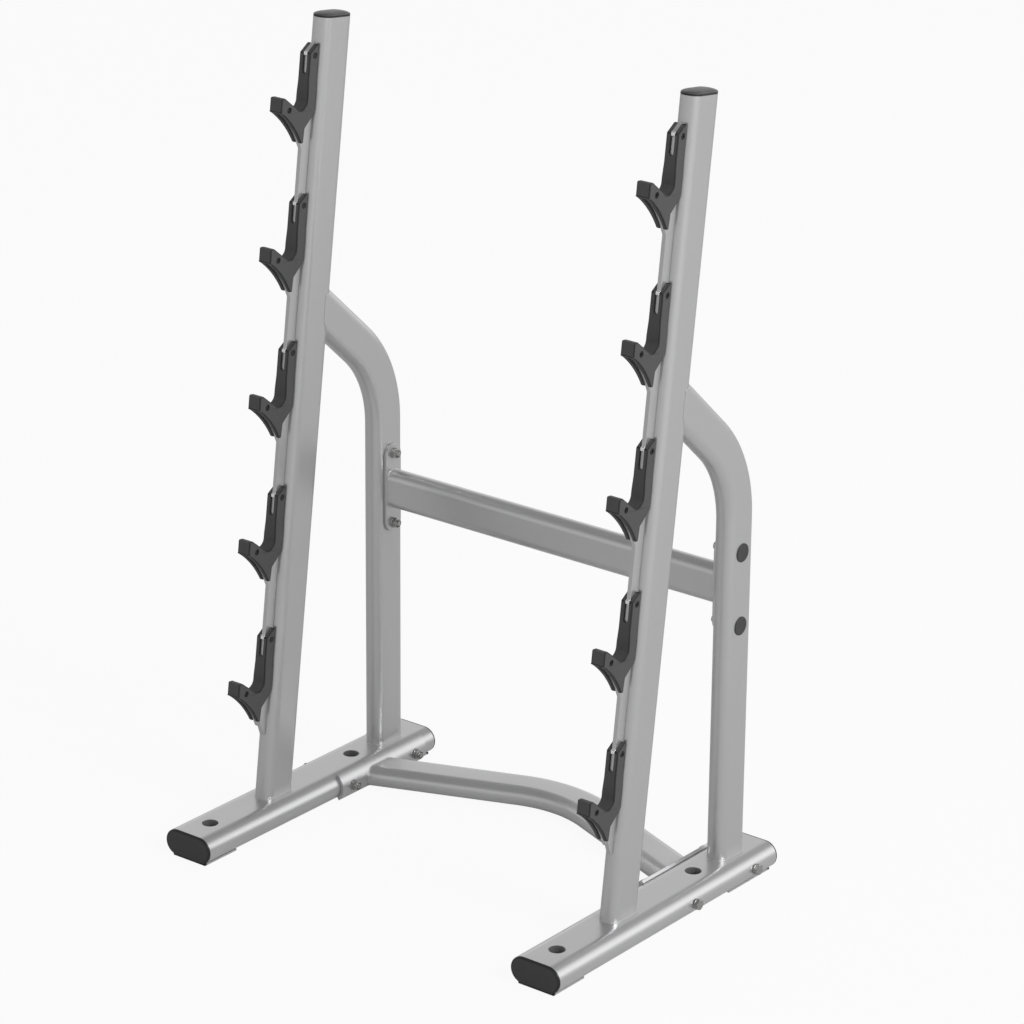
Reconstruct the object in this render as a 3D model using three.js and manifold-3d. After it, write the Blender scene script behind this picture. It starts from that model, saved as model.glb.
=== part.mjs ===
// A free-standing rack that stores fixed barbells on five pairs of hooks.
// Two welded side frames stand apart and are bolted to an upper cross bar and a bowed lower brace.
// Millimetres, +Z up, origin on the floor under the middle of the rack, bars are loaded from -Y.
import * as THREE from "three";
import { mergeVertices } from "three/addons/utils/BufferGeometryUtils.js";
import Module from "manifold-3d";

const wasm = await Module();
wasm.setup();

// Driving dimensions
// Clearances: the gap left where two pieces meet, and how far a cutter runs past a face
const fit = 0.3;
const overrun = 5;

// Whole rack
const frameSpacing = 768;
const wall = 3;

// Foot: a flat-sided oval tube that lies front to rear
const footWidth = 101.6;
const footHeight = 48.5;
const footLength = 622;
const anchorAccess = 29;
const anchorBore = 14;
const anchorFrontInset = 60;
const anchorRearInset = 181;

// End caps of the foot, and the pad plates that the rack stands on
const capThickness = 4;
const capInsert = 18;
const padThickness = 3.5;
const padWidth = 74;
const frontPadLength = 87;
const rearPadLength = 125;

// Upright and rear post: the same flat-sided oval tube
const tubeWidth = 38.1;
const tubeDepth = 76.2;
const uprightLean = THREE.MathUtils.degToRad(7.26);
const uprightLength = 1394;
const uprightInset = 226.4;
const topCapEdge = 3;
const topCapRise = 6;
const topCapTurn = THREE.MathUtils.degToRad(85);
const topCapInsert = 20;
const postInset = 89;
const postBendHeight = 671;
const postBendRadius = 217;
const postBendAngle = THREE.MathUtils.degToRad(47.6);
const plugBore = 30;
const plugFlange = 33;
const plugFlangeThickness = 1.6;
const plugDepth = 7;

// Upper cross bar and its bolted end plates
const crossbarHeight = 72;
const crossbarCentre = 548;
const crossbarPlateWidth = 40;
const crossbarPlateLength = 166;
const crossbarBoltSpan = 133;
const plateThickness = 6.4;

// Lower brace: the same tube laid flat and bowed to the rear, on plates that hug the feet
const braceHeight = 25;
const braceEndInset = 162.5;
const braceSweep = THREE.MathUtils.degToRad(21.4);
const braceBendRadius = 226;
const bracePlateLength = 234;
const bracePlateInset = 153;
const braceBoltSpan = 175;
const bracePlateRise = THREE.MathUtils.degToRad(58);
const bracePlateFall = THREE.MathUtils.degToRad(52);

// Bolts and nuts of the joints
const boltDiameter = 10;
const boltBore = 11;
const hexAcross = 17;
const boltHeadHeight = 6.4;
const nutHeight = 8;
const washerDiameter = 20;
const washerThickness = 2;
const threadShown = 3;

// Hook rail: one flat steel plate with a hook for each bar
const hookCount = 5;
const topHookDrop = 44;
const lowestHookRise = 316.4;
const railThickness = 8;
const railDepth = 20.5;
const railTail = 30;
const railTailNose = 6;
const nibReach = 3;
const nibHeight = 5;
const bellyOverlap = 11;

// Saddle: the moulded plastic cover of one hook
const saddleWidth = 27;
const saddleTopWidth = 24;
const saddleTailWidth = 21;
const saddleHeight = 169;
const saddleReach = 90.5;
const saddleSkin = 4;
const saddleStandoff = 3;
const chamferRun = 17.5;
const chamferRise = 15;
const cradleRadius = 15;
const cradleDepth = 110.5;
const rampAngle = THREE.MathUtils.degToRad(32);
const lipDrop = 87;
const lipHeight = 25;
const lipRound = 3;
const tailStandoff = 3.5;
const tailWidth = 6;
const tailLength = 26;
const tailBlend = 25;
const windowWidth = 9;
const windowLength = 36;

// Screws that clamp the two cheeks of a saddle on the rail
const screwDiameter = 5;
const screwBore = 5.6;
const screwHead = 9.5;
const screwHeadHeight = 3.6;
const screwNutHeight = 3.4;
const counterbore = 11;
const counterboreDepth = 4.6;
const upperScrewDrop = 19;
const lowerScrewReach = 70;
const lowerScrewDrop = 108;

// Round shapes: segments in a half turn of a tube end, and around a small round part
const ovalSegments = 5;
const bendSegments = 8;
const curveSegments = 4;
const roundSides = 16;
const screwSides = 10;

// Places that follow from the sizes above
const footTop = padThickness + footHeight;
const footMiddle = padThickness + footHeight / 2;
const footFront = -footLength / 2;
const footRear = footLength / 2;
const footRound = footHeight / 2;
const footRoundCentre = footWidth / 2 - footRound;
const uprightFoot = footFront + uprightInset;
const postMiddle = footRear - postInset;
const frontAnchor = footFront + anchorFrontInset;
const rearAnchor = footRear - anchorRearInset;
const bracePlateMiddle = footRear - bracePlateInset;
const braceMeetX = frameSpacing / 2 - footWidth / 2;
const braceMeetY = footRear - braceEndInset;
const saddleFace = railDepth + saddleSkin;
const cradleCentreReach = saddleFace + cradleRadius;
const cradleCentreDrop = cradleDepth - cradleRadius;
const railFront = tubeDepth / 2;
const topHook = uprightLength - topHookDrop;
const hookPitch = (topHook - lowestHookRise) / (hookCount - 1);

// Materials
const paint = new THREE.MeshStandardMaterial({ color: 0xb3b4b5, roughness: 0.42, metalness: 0.35 });
const plastic = new THREE.MeshStandardMaterial({ color: 0x3b3b3c, roughness: 0.6, metalness: 0 });
const capPlastic = new THREE.MeshStandardMaterial({ color: 0x353535, roughness: 0.55, metalness: 0 });
const zinc = new THREE.MeshStandardMaterial({ color: 0x9c9c9a, roughness: 0.35, metalness: 0.9 });

// Joining and cutting
function solid(geometry) {
  const bare = geometry.clone();
  bare.deleteAttribute("normal");
  bare.deleteAttribute("uv");
  const merged = mergeVertices(bare, 1e-4);
  return new wasm.Manifold(
    new wasm.Mesh({
      numProp: 3,
      vertProperties: new Float32Array(merged.attributes.position.array),
      triVerts: new Uint32Array(merged.index.array),
    }),
  );
}

function join(first, ...others) {
  return others.reduce((sum, next) => sum.add(next), first);
}

function cut(first, ...others) {
  return others.reduce((rest, next) => rest.subtract(next), first);
}

function piece(name, body, material) {
  const made = body.getMesh();
  const geometry = new THREE.BufferGeometry();
  geometry.setAttribute("position", new THREE.BufferAttribute(new Float32Array(made.vertProperties), 3));
  geometry.setIndex(new THREE.BufferAttribute(new Uint32Array(made.triVerts), 1));
  geometry.computeVertexNormals();
  const mesh = new THREE.Mesh(geometry, material);
  mesh.name = name;
  return mesh;
}

// An oval with flat sides, round on its short way
function flatOval(across, along) {
  const radius = Math.min(across, along) / 2;
  const reachX = across / 2 - radius;
  const reachY = along / 2 - radius;
  const start = along >= across ? 0 : -Math.PI / 2;
  const shape = new THREE.Shape();
  shape.absarc(reachX, reachY, radius, start, start + Math.PI, false);
  shape.absarc(-reachX, -reachY, radius, start + Math.PI, start + 2 * Math.PI, false);
  shape.closePath();
  return shape;
}

function tubeSection(across, along) {
  const shape = flatOval(across, along);
  shape.holes.push(flatOval(across - 2 * wall, along - 2 * wall));
  return shape;
}

// A straight prism of an outline, centred on the origin along Z
function prism(shape, length, segments = ovalSegments) {
  const geometry = new THREE.ExtrudeGeometry(shape, {
    depth: length,
    curveSegments: segments,
    bevelEnabled: false,
  });
  return geometry.translate(0, 0, -length / 2);
}

// Turns what was made along Z so that it lies along Y or X
function layAlongY(geometry) {
  return geometry.rotateX(Math.PI / 2);
}

function layAlongX(geometry) {
  return geometry.rotateY(Math.PI / 2);
}

function rodAlongX(radius, length, x, y, z, sides = roundSides) {
  const rod = new THREE.CylinderGeometry(radius, radius, length, sides);
  return solid(rod.rotateZ(Math.PI / 2).translate(x, y, z));
}

function rodAlongZ(radius, length, x, y, z, sides = roundSides) {
  const rod = new THREE.CylinderGeometry(radius, radius, length, sides);
  return solid(rod.rotateX(Math.PI / 2).translate(x, y, z));
}

function hexAlongX(acrossFlats, height, x, y, z) {
  return rodAlongX(acrossFlats / Math.sqrt(3), height, x, y, z, 6);
}

function block(sizeX, sizeY, sizeZ, x, y, z) {
  return solid(new THREE.BoxGeometry(sizeX, sizeY, sizeZ).translate(x, y, z));
}

// A path given by stations, each a point and the direction of travel there
class Run extends THREE.Curve {
  constructor(stations) {
    super();
    this.stations = stations;
  }
  station(share) {
    return this.stations[Math.round(share * (this.stations.length - 1))];
  }
  getPoint(share) {
    return this.station(share).point.clone();
  }
  getPointAt(share) {
    return this.getPoint(share);
  }
  getTangentAt(share) {
    return this.station(share).heading.clone();
  }
}

function bentTube(section, stations) {
  return solid(
    new THREE.ExtrudeGeometry(section, {
      steps: stations.length - 1,
      extrudePath: new Run(stations),
      curveSegments: ovalSegments,
      bevelEnabled: false,
    }),
  );
}

// Pad plate welded under one end of a foot. way is -1 at the front and 1 at the rear.
function footPad(way, padLength) {
  const length = padLength - capThickness - fit;
  const height = padThickness + fit;
  return block(padWidth, length, height, 0, way * (footLength / 2 - padLength + length / 2), height / 2);
}

// Foot tube on its two pads, with its anchor holes and the bolt holes of the brace
function footTube() {
  const length = footLength - 2 * (capThickness + fit);
  const tube = prism(tubeSection(footWidth, footHeight), length);
  const body = join(
    solid(layAlongY(tube).translate(0, 0, footMiddle)),
    footPad(-1, frontPadLength),
    footPad(1, rearPadLength),
  );
  const cutters = [frontAnchor, rearAnchor].flatMap((y) => [
    rodAlongZ(anchorAccess / 2, footHeight / 2 + overrun, 0, y, footTop),
    rodAlongZ(anchorBore / 2, footHeight / 2 + overrun, 0, y, padThickness),
  ]);
  for (const end of [-1, 1]) {
    const y = bracePlateMiddle + (end * braceBoltSpan) / 2;
    cutters.push(rodAlongX(boltBore / 2, footWidth + 2 * overrun, 0, y, footMiddle));
  }
  return cut(body, ...cutters);
}

// End cap: a face plate on the end of the tube, and an insert in the tube
function footCap(way) {
  const end = (way * footLength) / 2;
  const faceY = end - (way * capThickness) / 2;
  const face = solid(layAlongY(prism(flatOval(footWidth, footHeight), capThickness)).translate(0, faceY, footMiddle));
  const insertLength = capInsert + capThickness / 2;
  const bore = 2 * (wall + fit);
  const insert = solid(
    layAlongY(prism(flatOval(footWidth - bore, footHeight - bore), insertLength)).translate(
      0,
      end - way * (capThickness / 2 + insertLength / 2),
      footMiddle,
    ),
  );
  return join(face, insert);
}

// Upright, made along its own lean: Z runs up the tube from the top of the foot
function uprightTube() {
  const below = tubeDepth / 2;
  const tube = prism(tubeSection(tubeWidth, tubeDepth), uprightLength + below);
  const body = solid(tube.translate(0, 0, (uprightLength - below) / 2));
  const floor = new THREE.BoxGeometry(2 * tubeWidth, 3 * tubeDepth, 2 * tubeDepth);
  floor.translate(0, 0, fit - tubeDepth);
  return cut(body, solid(floor.rotateX(uprightLean)));
}

// Cap of the upright: a straight edge, then a dome that draws in towards the middle as it rises
function topCap() {
  const dome = new THREE.ExtrudeGeometry(flatOval(tubeWidth, tubeDepth), {
    depth: topCapRise,
    steps: curveSegments,
    curveSegments: ovalSegments,
    bevelEnabled: false,
  });
  const points = dome.attributes.position;
  for (let i = 0; i < points.count; i++) {
    const turn = (points.getZ(i) / topCapRise) * topCapTurn;
    const height = (topCapRise * Math.sin(turn)) / Math.sin(topCapTurn);
    points.setXYZ(i, points.getX(i) * Math.cos(turn), points.getY(i) * Math.cos(turn), height);
  }
  const seat = uprightLength + fit;
  const edge = prism(flatOval(tubeWidth, tubeDepth), topCapEdge);
  const bore = 2 * (wall + fit);
  const insertLength = topCapInsert + topCapEdge / 2;
  const insert = prism(flatOval(tubeWidth - bore, tubeDepth - bore), insertLength);
  return join(
    solid(dome.translate(0, 0, seat + topCapEdge)),
    solid(edge.translate(0, 0, seat + topCapEdge / 2)),
    solid(insert.translate(0, 0, seat + topCapEdge / 2 - insertLength / 2)),
  );
}

// Rear post: up from the foot, round a wide bend and forward to the back of the upright
function postStations() {
  const straight = { point: new THREE.Vector3(0, postMiddle, footTop + fit), heading: new THREE.Vector3(0, 0, 1) };
  const bend = Array.from({ length: bendSegments + 1 }, (_, i) => {
    const turn = (postBendAngle * i) / bendSegments;
    const y = postMiddle - postBendRadius * (1 - Math.cos(turn));
    const z = postBendHeight + postBendRadius * Math.sin(turn);
    return {
      point: new THREE.Vector3(0, y, z),
      heading: new THREE.Vector3(0, -Math.sin(turn), Math.cos(turn)),
    };
  });
  const last = bend[bendSegments];
  const gap = last.point.y - uprightFoot - (last.point.z - footTop) * Math.tan(uprightLean);
  const closing = Math.sin(postBendAngle) + Math.cos(postBendAngle) * Math.tan(uprightLean);
  const end = last.point.clone().addScaledVector(last.heading, gap / closing);
  return [straight, ...bend, { point: end, heading: last.heading.clone() }];
}

function rearPost() {
  const post = bentTube(tubeSection(tubeDepth, tubeWidth), postStations());
  const upright = prism(flatOval(tubeWidth + 2 * fit, tubeDepth + 2 * fit), 2 * uprightLength);
  upright.rotateX(-uprightLean).translate(0, uprightFoot, footTop);
  const cutters = [-1, 1].flatMap((way) => {
    const z = crossbarCentre + (way * crossbarBoltSpan) / 2;
    return [
      rodAlongX(plugBore / 2, tubeWidth / 2, tubeWidth / 2, postMiddle, z),
      rodAlongX(boltBore / 2, tubeWidth / 2, -tubeWidth / 2, postMiddle, z),
    ];
  });
  return cut(post, solid(upright), ...cutters);
}

// Plug in the outer side of the post, over the head of a cross bar bolt
function postPlug(z) {
  const flangeX = tubeWidth / 2 + fit + plugFlangeThickness / 2;
  const barrelX = tubeWidth / 2 + fit + plugFlangeThickness / 2 - plugDepth / 2;
  return join(
    rodAlongX(plugFlange / 2, plugFlangeThickness, flangeX, postMiddle, z),
    rodAlongX(plugBore / 2 - fit, plugDepth, barrelX, postMiddle, z),
  );
}

// Bolt of the cross bar: its head sits inside the post, its thread comes out through the end plate
function crossbarBolt(z) {
  const innerWall = -(tubeWidth / 2 - wall);
  const headX = innerWall + fit + boltHeadHeight / 2;
  const tip = -(tubeWidth / 2 + 3 * fit + plateThickness + washerThickness + nutHeight + threadShown);
  const shankLength = headX - tip;
  return join(
    hexAlongX(hexAcross, boltHeadHeight, headX, postMiddle, z),
    rodAlongX(boltDiameter / 2, shankLength, (headX + tip) / 2, postMiddle, z),
  );
}

// Nut with its washer, bored to slip over the bolt. way is the side that the nut faces, -1 or 1.
function nut(way, seatX, y, z) {
  const washerX = seatX + (way * washerThickness) / 2;
  const nutX = seatX + way * (washerThickness + nutHeight / 2);
  const bore = rodAlongX(boltDiameter / 2 + fit, 3 * washerDiameter, seatX, y, z);
  const body = join(
    rodAlongX(washerDiameter / 2, washerThickness, washerX, y, z),
    hexAlongX(hexAcross, nutHeight, nutX, y, z),
  );
  return cut(body, bore);
}

function crossbarNut(z) {
  return nut(-1, -(tubeWidth / 2 + 2 * fit + plateThickness), postMiddle, z);
}

// Bolt of the brace: head and washer on the outer side of the foot, thread out of the brace plate
function braceBolt(y) {
  const seat = footWidth / 2 + fit;
  const headX = seat + washerThickness + boltHeadHeight / 2;
  const tip = -(footWidth / 2 + 3 * fit + plateThickness + washerThickness + nutHeight + threadShown);
  return join(
    rodAlongX(washerDiameter / 2, washerThickness, seat + washerThickness / 2, y, footMiddle),
    hexAlongX(hexAcross, boltHeadHeight, headX, y, footMiddle),
    rodAlongX(boltDiameter / 2, headX - tip, (headX + tip) / 2, y, footMiddle),
  );
}

function braceNut(y) {
  return nut(-1, -(footWidth / 2 + 2 * fit + plateThickness), y, footMiddle);
}

// Side outlines of the rail and the saddle are drawn forward from the upright and up along it
const sideways = new THREE.Matrix4().makeBasis(
  new THREE.Vector3(0, -1, 0),
  new THREE.Vector3(0, 0, 1),
  new THREE.Vector3(-1, 0, 0),
);

function sidePrism(shape, thickness) {
  const geometry = prism(shape, thickness, curveSegments).applyMatrix4(sideways);
  return solid(geometry.translate(0, -railFront, 0));
}

function hookTop(index) {
  return topHook - index * hookPitch;
}

// Where the ramp of a cradle of this radius leaves the round, and how it climbs to a given reach
function rampStart(radius) {
  return {
    reach: cradleCentreReach + radius * Math.sin(rampAngle),
    drop: cradleCentreDrop + radius * Math.cos(rampAngle),
  };
}

function rampDropAt(radius, reach) {
  const start = rampStart(radius);
  return start.drop - (reach - start.reach) * Math.tan(rampAngle);
}

// The curved underside of a hook between its lip and its tail: the point that the curve is drawn towards
const bellyReachShare = 0.38;
const bellyDropShare = 0.63;

function bellyPull(lip, tail) {
  return {
    reach: tail.reach + bellyReachShare * (lip.reach - tail.reach),
    drop: tail.drop - bellyDropShare * (tail.drop - lip.drop),
  };
}

// How far the chamfer at the top of a saddle has come down at a reach
function chamferDropAt(reach) {
  return ((reach - saddleFace + chamferRun) * chamferRise) / chamferRun;
}

// Hook rail: a strip on the front of the upright that grows a hook under each saddle, and a nib in its window
function hookOutline(shape, top) {
  const radius = cradleRadius + saddleSkin;
  const reach = saddleReach - saddleSkin - fit;
  const under = { reach, drop: lipDrop + lipHeight - saddleSkin };
  const tail = { reach: railDepth, drop: saddleHeight + bellyOverlap };
  const pull = bellyPull(under, tail);
  shape.lineTo(tail.reach, top - tail.drop);
  shape.quadraticCurveTo(pull.reach, top - pull.drop, under.reach, top - under.drop);
  shape.lineTo(reach, top - rampDropAt(radius, reach - saddleSkin));
  shape.lineTo(reach - saddleSkin, top - rampDropAt(radius, reach - saddleSkin));
  const turnEnd = 1.5 * Math.PI + rampAngle;
  shape.absarc(cradleCentreReach, top - cradleCentreDrop, radius, turnEnd, Math.PI, true);
  const nib = railDepth + nibReach;
  const nibBottom = top - chamferDropAt(nib) - nibHeight;
  shape.lineTo(railDepth, nibBottom);
  shape.lineTo(nib, nibBottom);
  shape.lineTo(nib, top - chamferDropAt(nib));
  shape.lineTo(railDepth, top - chamferDropAt(railDepth));
}

function hookRail() {
  const shape = new THREE.Shape();
  const bottom = hookTop(hookCount - 1) - saddleHeight - railTail;
  shape.moveTo(fit, bottom);
  shape.lineTo(railTailNose, bottom);
  shape.lineTo(railDepth, bottom + railTail);
  for (let index = hookCount - 1; index >= 0; index -= 1) {
    hookOutline(shape, hookTop(index));
  }
  shape.lineTo(saddleFace - chamferRun, topHook);
  shape.lineTo(fit, topHook);
  shape.closePath();
  const holes = Array.from({ length: hookCount }, (_, index) => screwPlaces(index)).flat();
  return cut(
    sidePrism(shape, railThickness),
    ...holes.map(({ y, z }) => rodAlongX(screwBore / 2, 2 * railThickness, 0, y, z, screwSides)),
  );
}

// The two screws of a saddle, as places in the leaning frame of the upright
function screwPlaces(index) {
  const upper = { y: -(railFront + (saddleStandoff + railDepth) / 2), z: hookTop(index) - upperScrewDrop };
  const lower = { y: -(railFront + lowerScrewReach), z: hookTop(index) - lowerScrewDrop };
  return [upper, lower];
}

function saddleOutline(top) {
  const shape = new THREE.Shape();
  const under = { reach: saddleReach, drop: lipDrop + lipHeight };
  const tailRear = railDepth + tailStandoff;
  const turnEnd = 1.5 * Math.PI + rampAngle;
  const ramp = rampStart(cradleRadius);
  const rampEnd = ramp.reach + (ramp.drop - lipDrop) / Math.tan(rampAngle);
  shape.moveTo(saddleStandoff, top);
  shape.lineTo(saddleFace - chamferRun, top);
  shape.lineTo(saddleFace, top - chamferRise);
  shape.absarc(cradleCentreReach, top - cradleCentreDrop, cradleRadius, Math.PI, turnEnd, false);
  shape.lineTo(rampEnd, top - lipDrop);
  shape.lineTo(saddleReach - lipRound, top - lipDrop);
  shape.lineTo(saddleReach, top - lipDrop - lipRound);
  shape.lineTo(under.reach, top - under.drop);
  const tail = { reach: tailRear + tailWidth, drop: saddleHeight };
  const pull = bellyPull(under, tail);
  shape.quadraticCurveTo(pull.reach, top - pull.drop, tail.reach, top - tail.drop);
  shape.lineTo(tailRear, top - saddleHeight);
  shape.lineTo(tailRear, top - saddleHeight + tailLength);
  const blendTop = top - saddleHeight + tailLength + tailBlend;
  const blendMiddle = top - saddleHeight + tailLength + tailBlend / 2;
  shape.quadraticCurveTo((tailRear + saddleStandoff) / 2, blendMiddle, saddleStandoff, blendTop);
  shape.closePath();
  return shape;
}

// What the rail takes out of the middle of a saddle, open at the back, the top and the bottom
function saddleSlot(top) {
  const shape = new THREE.Shape();
  const radius = cradleRadius + saddleSkin - fit;
  const front = saddleReach - saddleSkin;
  const turnEnd = 1.5 * Math.PI + rampAngle;
  const below = top - saddleHeight - 2 * overrun;
  shape.moveTo(-overrun, top + overrun);
  shape.lineTo(railDepth + fit, top + overrun);
  shape.absarc(cradleCentreReach, top - cradleCentreDrop, radius, Math.PI, turnEnd, false);
  shape.lineTo(front - saddleSkin, top - rampDropAt(radius, front - saddleSkin));
  shape.lineTo(front, top - rampDropAt(radius, front - saddleSkin));
  shape.lineTo(front, below);
  shape.lineTo(-overrun, below);
  shape.closePath();
  return sidePrism(shape, railThickness + 2 * fit);
}

// The saddle seen from the front: widest at the lip, narrower at the top and at the tail
function saddleFront(top) {
  const right = [
    new THREE.Vector2(saddleTopWidth / 2, top + overrun),
    new THREE.Vector2(saddleTopWidth / 2, top - lipDrop + lipHeight),
    new THREE.Vector2(saddleWidth / 2, top - lipDrop),
    new THREE.Vector2(saddleWidth / 2, top - lipDrop - lipHeight),
    new THREE.Vector2(saddleTailWidth / 2, top - saddleHeight),
    new THREE.Vector2(saddleTailWidth / 2, top - saddleHeight - overrun),
  ];
  const left = right.map((point) => new THREE.Vector2(-point.x, point.y)).reverse();
  const shape = new THREE.Shape().setFromPoints([...right, ...left]);
  return solid(layAlongY(prism(shape, 4 * saddleReach)));
}

function saddle(index) {
  const top = hookTop(index);
  const windowRound = windowWidth / 2;
  const windowBottom = top - chamferRise - windowLength + windowRound;
  const windowHeight = top + overrun - windowBottom;
  const windowY = -(railFront + saddleFace);
  const pane = block(windowWidth, 2 * saddleSkin, windowHeight, 0, windowY, windowBottom + windowHeight / 2);
  const paneFoot = new THREE.CylinderGeometry(windowRound, windowRound, 2 * saddleSkin, screwSides);
  const cutters = [saddleSlot(top), pane, solid(paneFoot.translate(0, windowY, windowBottom))];
  for (const { y, z } of screwPlaces(index)) {
    cutters.push(rodAlongX(screwBore / 2, saddleWidth + 2 * overrun, 0, y, z, screwSides));
    for (const way of [-1, 1]) {
      const x = way * (saddleWidth / 2 - counterboreDepth / 2 + overrun / 2);
      cutters.push(rodAlongX(counterbore / 2, counterboreDepth + overrun, x, y, z, roundSides));
    }
  }
  const body = sidePrism(saddleOutline(top), saddleWidth).intersect(saddleFront(top));
  return cut(body, ...cutters);
}

// The lower screw of a saddle with its nut, which sit in the counterbores of the two cheeks
function saddleScrew(index) {
  const { y, z } = screwPlaces(index)[1];
  const seat = saddleWidth / 2 - counterboreDepth + fit;
  const headX = seat + screwHeadHeight / 2;
  const nutX = -(seat + screwNutHeight / 2);
  return join(
    rodAlongX(screwHead / 2, screwHeadHeight, headX, y, z, roundSides),
    rodAlongX(screwDiameter / 2, headX - nutX, (headX + nutX) / 2, y, z, screwSides),
    hexAlongX(screwHead * Math.cos(Math.PI / 6), screwNutHeight, nutX, y, z),
  );
}

// Side frame. It is drawn as the right one, with its inner side towards -X, and mirrored for the left.
function sideFrame(side, sign) {
  const frame = new THREE.Group();
  frame.scale.x = sign;
  frame.position.x = (sign * frameSpacing) / 2;
  frame.add(piece(`foot_tube_${side}`, footTube(), paint));
  frame.add(piece(`foot_cap_front_${side}`, footCap(-1), capPlastic));
  frame.add(piece(`foot_cap_rear_${side}`, footCap(1), capPlastic));
  frame.add(piece(`rear_post_${side}`, rearPost(), paint));
  for (const [level, way] of [["upper", 1], ["lower", -1]]) {
    const z = crossbarCentre + (way * crossbarBoltSpan) / 2;
    frame.add(piece(`post_plug_${level}_${side}`, postPlug(z), capPlastic));
    frame.add(piece(`crossbar_bolt_${level}_${side}`, crossbarBolt(z), zinc));
    frame.add(piece(`crossbar_nut_${level}_${side}`, crossbarNut(z), zinc));
  }
  for (const [place, way] of [["front", -1], ["rear", 1]]) {
    const y = bracePlateMiddle + (way * braceBoltSpan) / 2;
    frame.add(piece(`brace_bolt_${place}_${side}`, braceBolt(y), zinc));
    frame.add(piece(`brace_nut_${place}_${side}`, braceNut(y), zinc));
  }
  frame.add(leaningUpright(side));
  return frame;
}

// Everything that leans with the upright
function leaningUpright(side) {
  const lean = new THREE.Group();
  lean.position.set(0, uprightFoot, footTop);
  lean.rotation.x = -uprightLean;
  lean.add(piece(`front_upright_${side}`, uprightTube(), paint));
  lean.add(piece(`top_cap_${side}`, topCap(), capPlastic));
  lean.add(piece(`hook_rail_${side}`, hookRail(), paint));
  for (let index = 0; index < hookCount; index += 1) {
    lean.add(piece(`saddle_${side}_${index + 1}`, saddle(index), plastic));
    lean.add(piece(`saddle_screw_${side}_${index + 1}`, saddleScrew(index), zinc));
  }
  return lean;
}

// Upper cross bar between the posts
function upperCrossbar() {
  const reach = frameSpacing / 2 - tubeWidth / 2 - plateThickness - 2 * fit;
  const bar = layAlongX(prism(tubeSection(crossbarHeight, tubeWidth), 2 * reach));
  return solid(bar.translate(0, postMiddle, crossbarCentre));
}

function crossbarPlate(sign) {
  const x = sign * (frameSpacing / 2 - tubeWidth / 2 - fit - plateThickness / 2);
  const plate = layAlongX(prism(flatOval(crossbarPlateLength, crossbarPlateWidth), plateThickness));
  const bores = [-1, 1].map((way) => {
    const z = crossbarCentre + (way * crossbarBoltSpan) / 2;
    return rodAlongX(boltBore / 2, plateThickness + 2 * overrun, x, postMiddle, z);
  });
  return cut(solid(plate.translate(x, postMiddle, crossbarCentre)), ...bores);
}

// Brace plate: a strip that wraps the round inner side of a foot
function bracePlate(sign) {
  const inner = footRound + fit;
  const outer = inner + plateThickness;
  const shape = new THREE.Shape();
  shape.absarc(0, 0, outer, -bracePlateFall, bracePlateRise, false);
  shape.absarc(0, 0, inner, bracePlateRise, -bracePlateFall, true);
  shape.closePath();
  const strip = layAlongY(prism(shape, bracePlateLength, 2 * curveSegments));
  if (sign > 0) strip.rotateZ(Math.PI);
  const x = sign * (frameSpacing / 2 - footRoundCentre);
  const bores = [-1, 1].map((way) => {
    const y = bracePlateMiddle + (way * braceBoltSpan) / 2;
    return rodAlongX(boltBore / 2, 2 * footWidth, x, y, footMiddle);
  });
  return cut(solid(strip.translate(x, bracePlateMiddle, footMiddle)), ...bores);
}

// Lower brace: two straight legs that meet in a bend behind the middle, coped to the brace plates
function braceStations() {
  const endX = frameSpacing / 2 - footRoundCentre;
  const slope = Math.tan(braceSweep);
  const bendX = braceBendRadius * Math.sin(braceSweep);
  const bendY = braceMeetY + (braceMeetX - bendX) * slope;
  const leg = (side) => ({
    point: new THREE.Vector3(side * endX, braceMeetY - (endX - braceMeetX) * slope, braceHeight),
    heading: new THREE.Vector3(Math.cos(braceSweep), -side * Math.sin(braceSweep), 0),
  });
  const bend = Array.from({ length: bendSegments + 1 }, (_, i) => {
    const turn = braceSweep * ((2 * i) / bendSegments - 1);
    const y = bendY + braceBendRadius * (Math.cos(turn) - Math.cos(braceSweep));
    return {
      point: new THREE.Vector3(braceBendRadius * Math.sin(turn), y, braceHeight),
      heading: new THREE.Vector3(Math.cos(turn), -Math.sin(turn), 0),
    };
  });
  return [leg(-1), ...bend, leg(1)];
}

function lowerBrace() {
  const tube = bentTube(tubeSection(tubeWidth, tubeDepth), braceStations());
  const radius = footRound + plateThickness + 2 * fit;
  const copes = [-1, 1].map((sign) => {
    const round = new THREE.CylinderGeometry(radius, radius, footLength, 2 * roundSides);
    return solid(round.translate(sign * (frameSpacing / 2 - footRoundCentre), 0, footMiddle));
  });
  return cut(tube, ...copes);
}

const rack = new THREE.Group();
rack.add(sideFrame("left", -1), sideFrame("right", 1));
rack.add(piece("upper_crossbar", upperCrossbar(), paint));
rack.add(piece("lower_brace", lowerBrace(), paint));
for (const [side, sign] of [["left", -1], ["right", 1]]) {
  rack.add(piece(`crossbar_plate_${side}`, crossbarPlate(sign), paint));
  rack.add(piece(`brace_plate_${side}`, bracePlate(sign), paint));
}

export default rack;
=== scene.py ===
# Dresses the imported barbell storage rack. Each solid of the frame is replaced by a finished piece
# in the same place, in metres: rounded edges, weld beads, fasteners and procedural finishes.
import math

import bmesh
import bpy
from mathutils import Matrix, Vector


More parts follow.
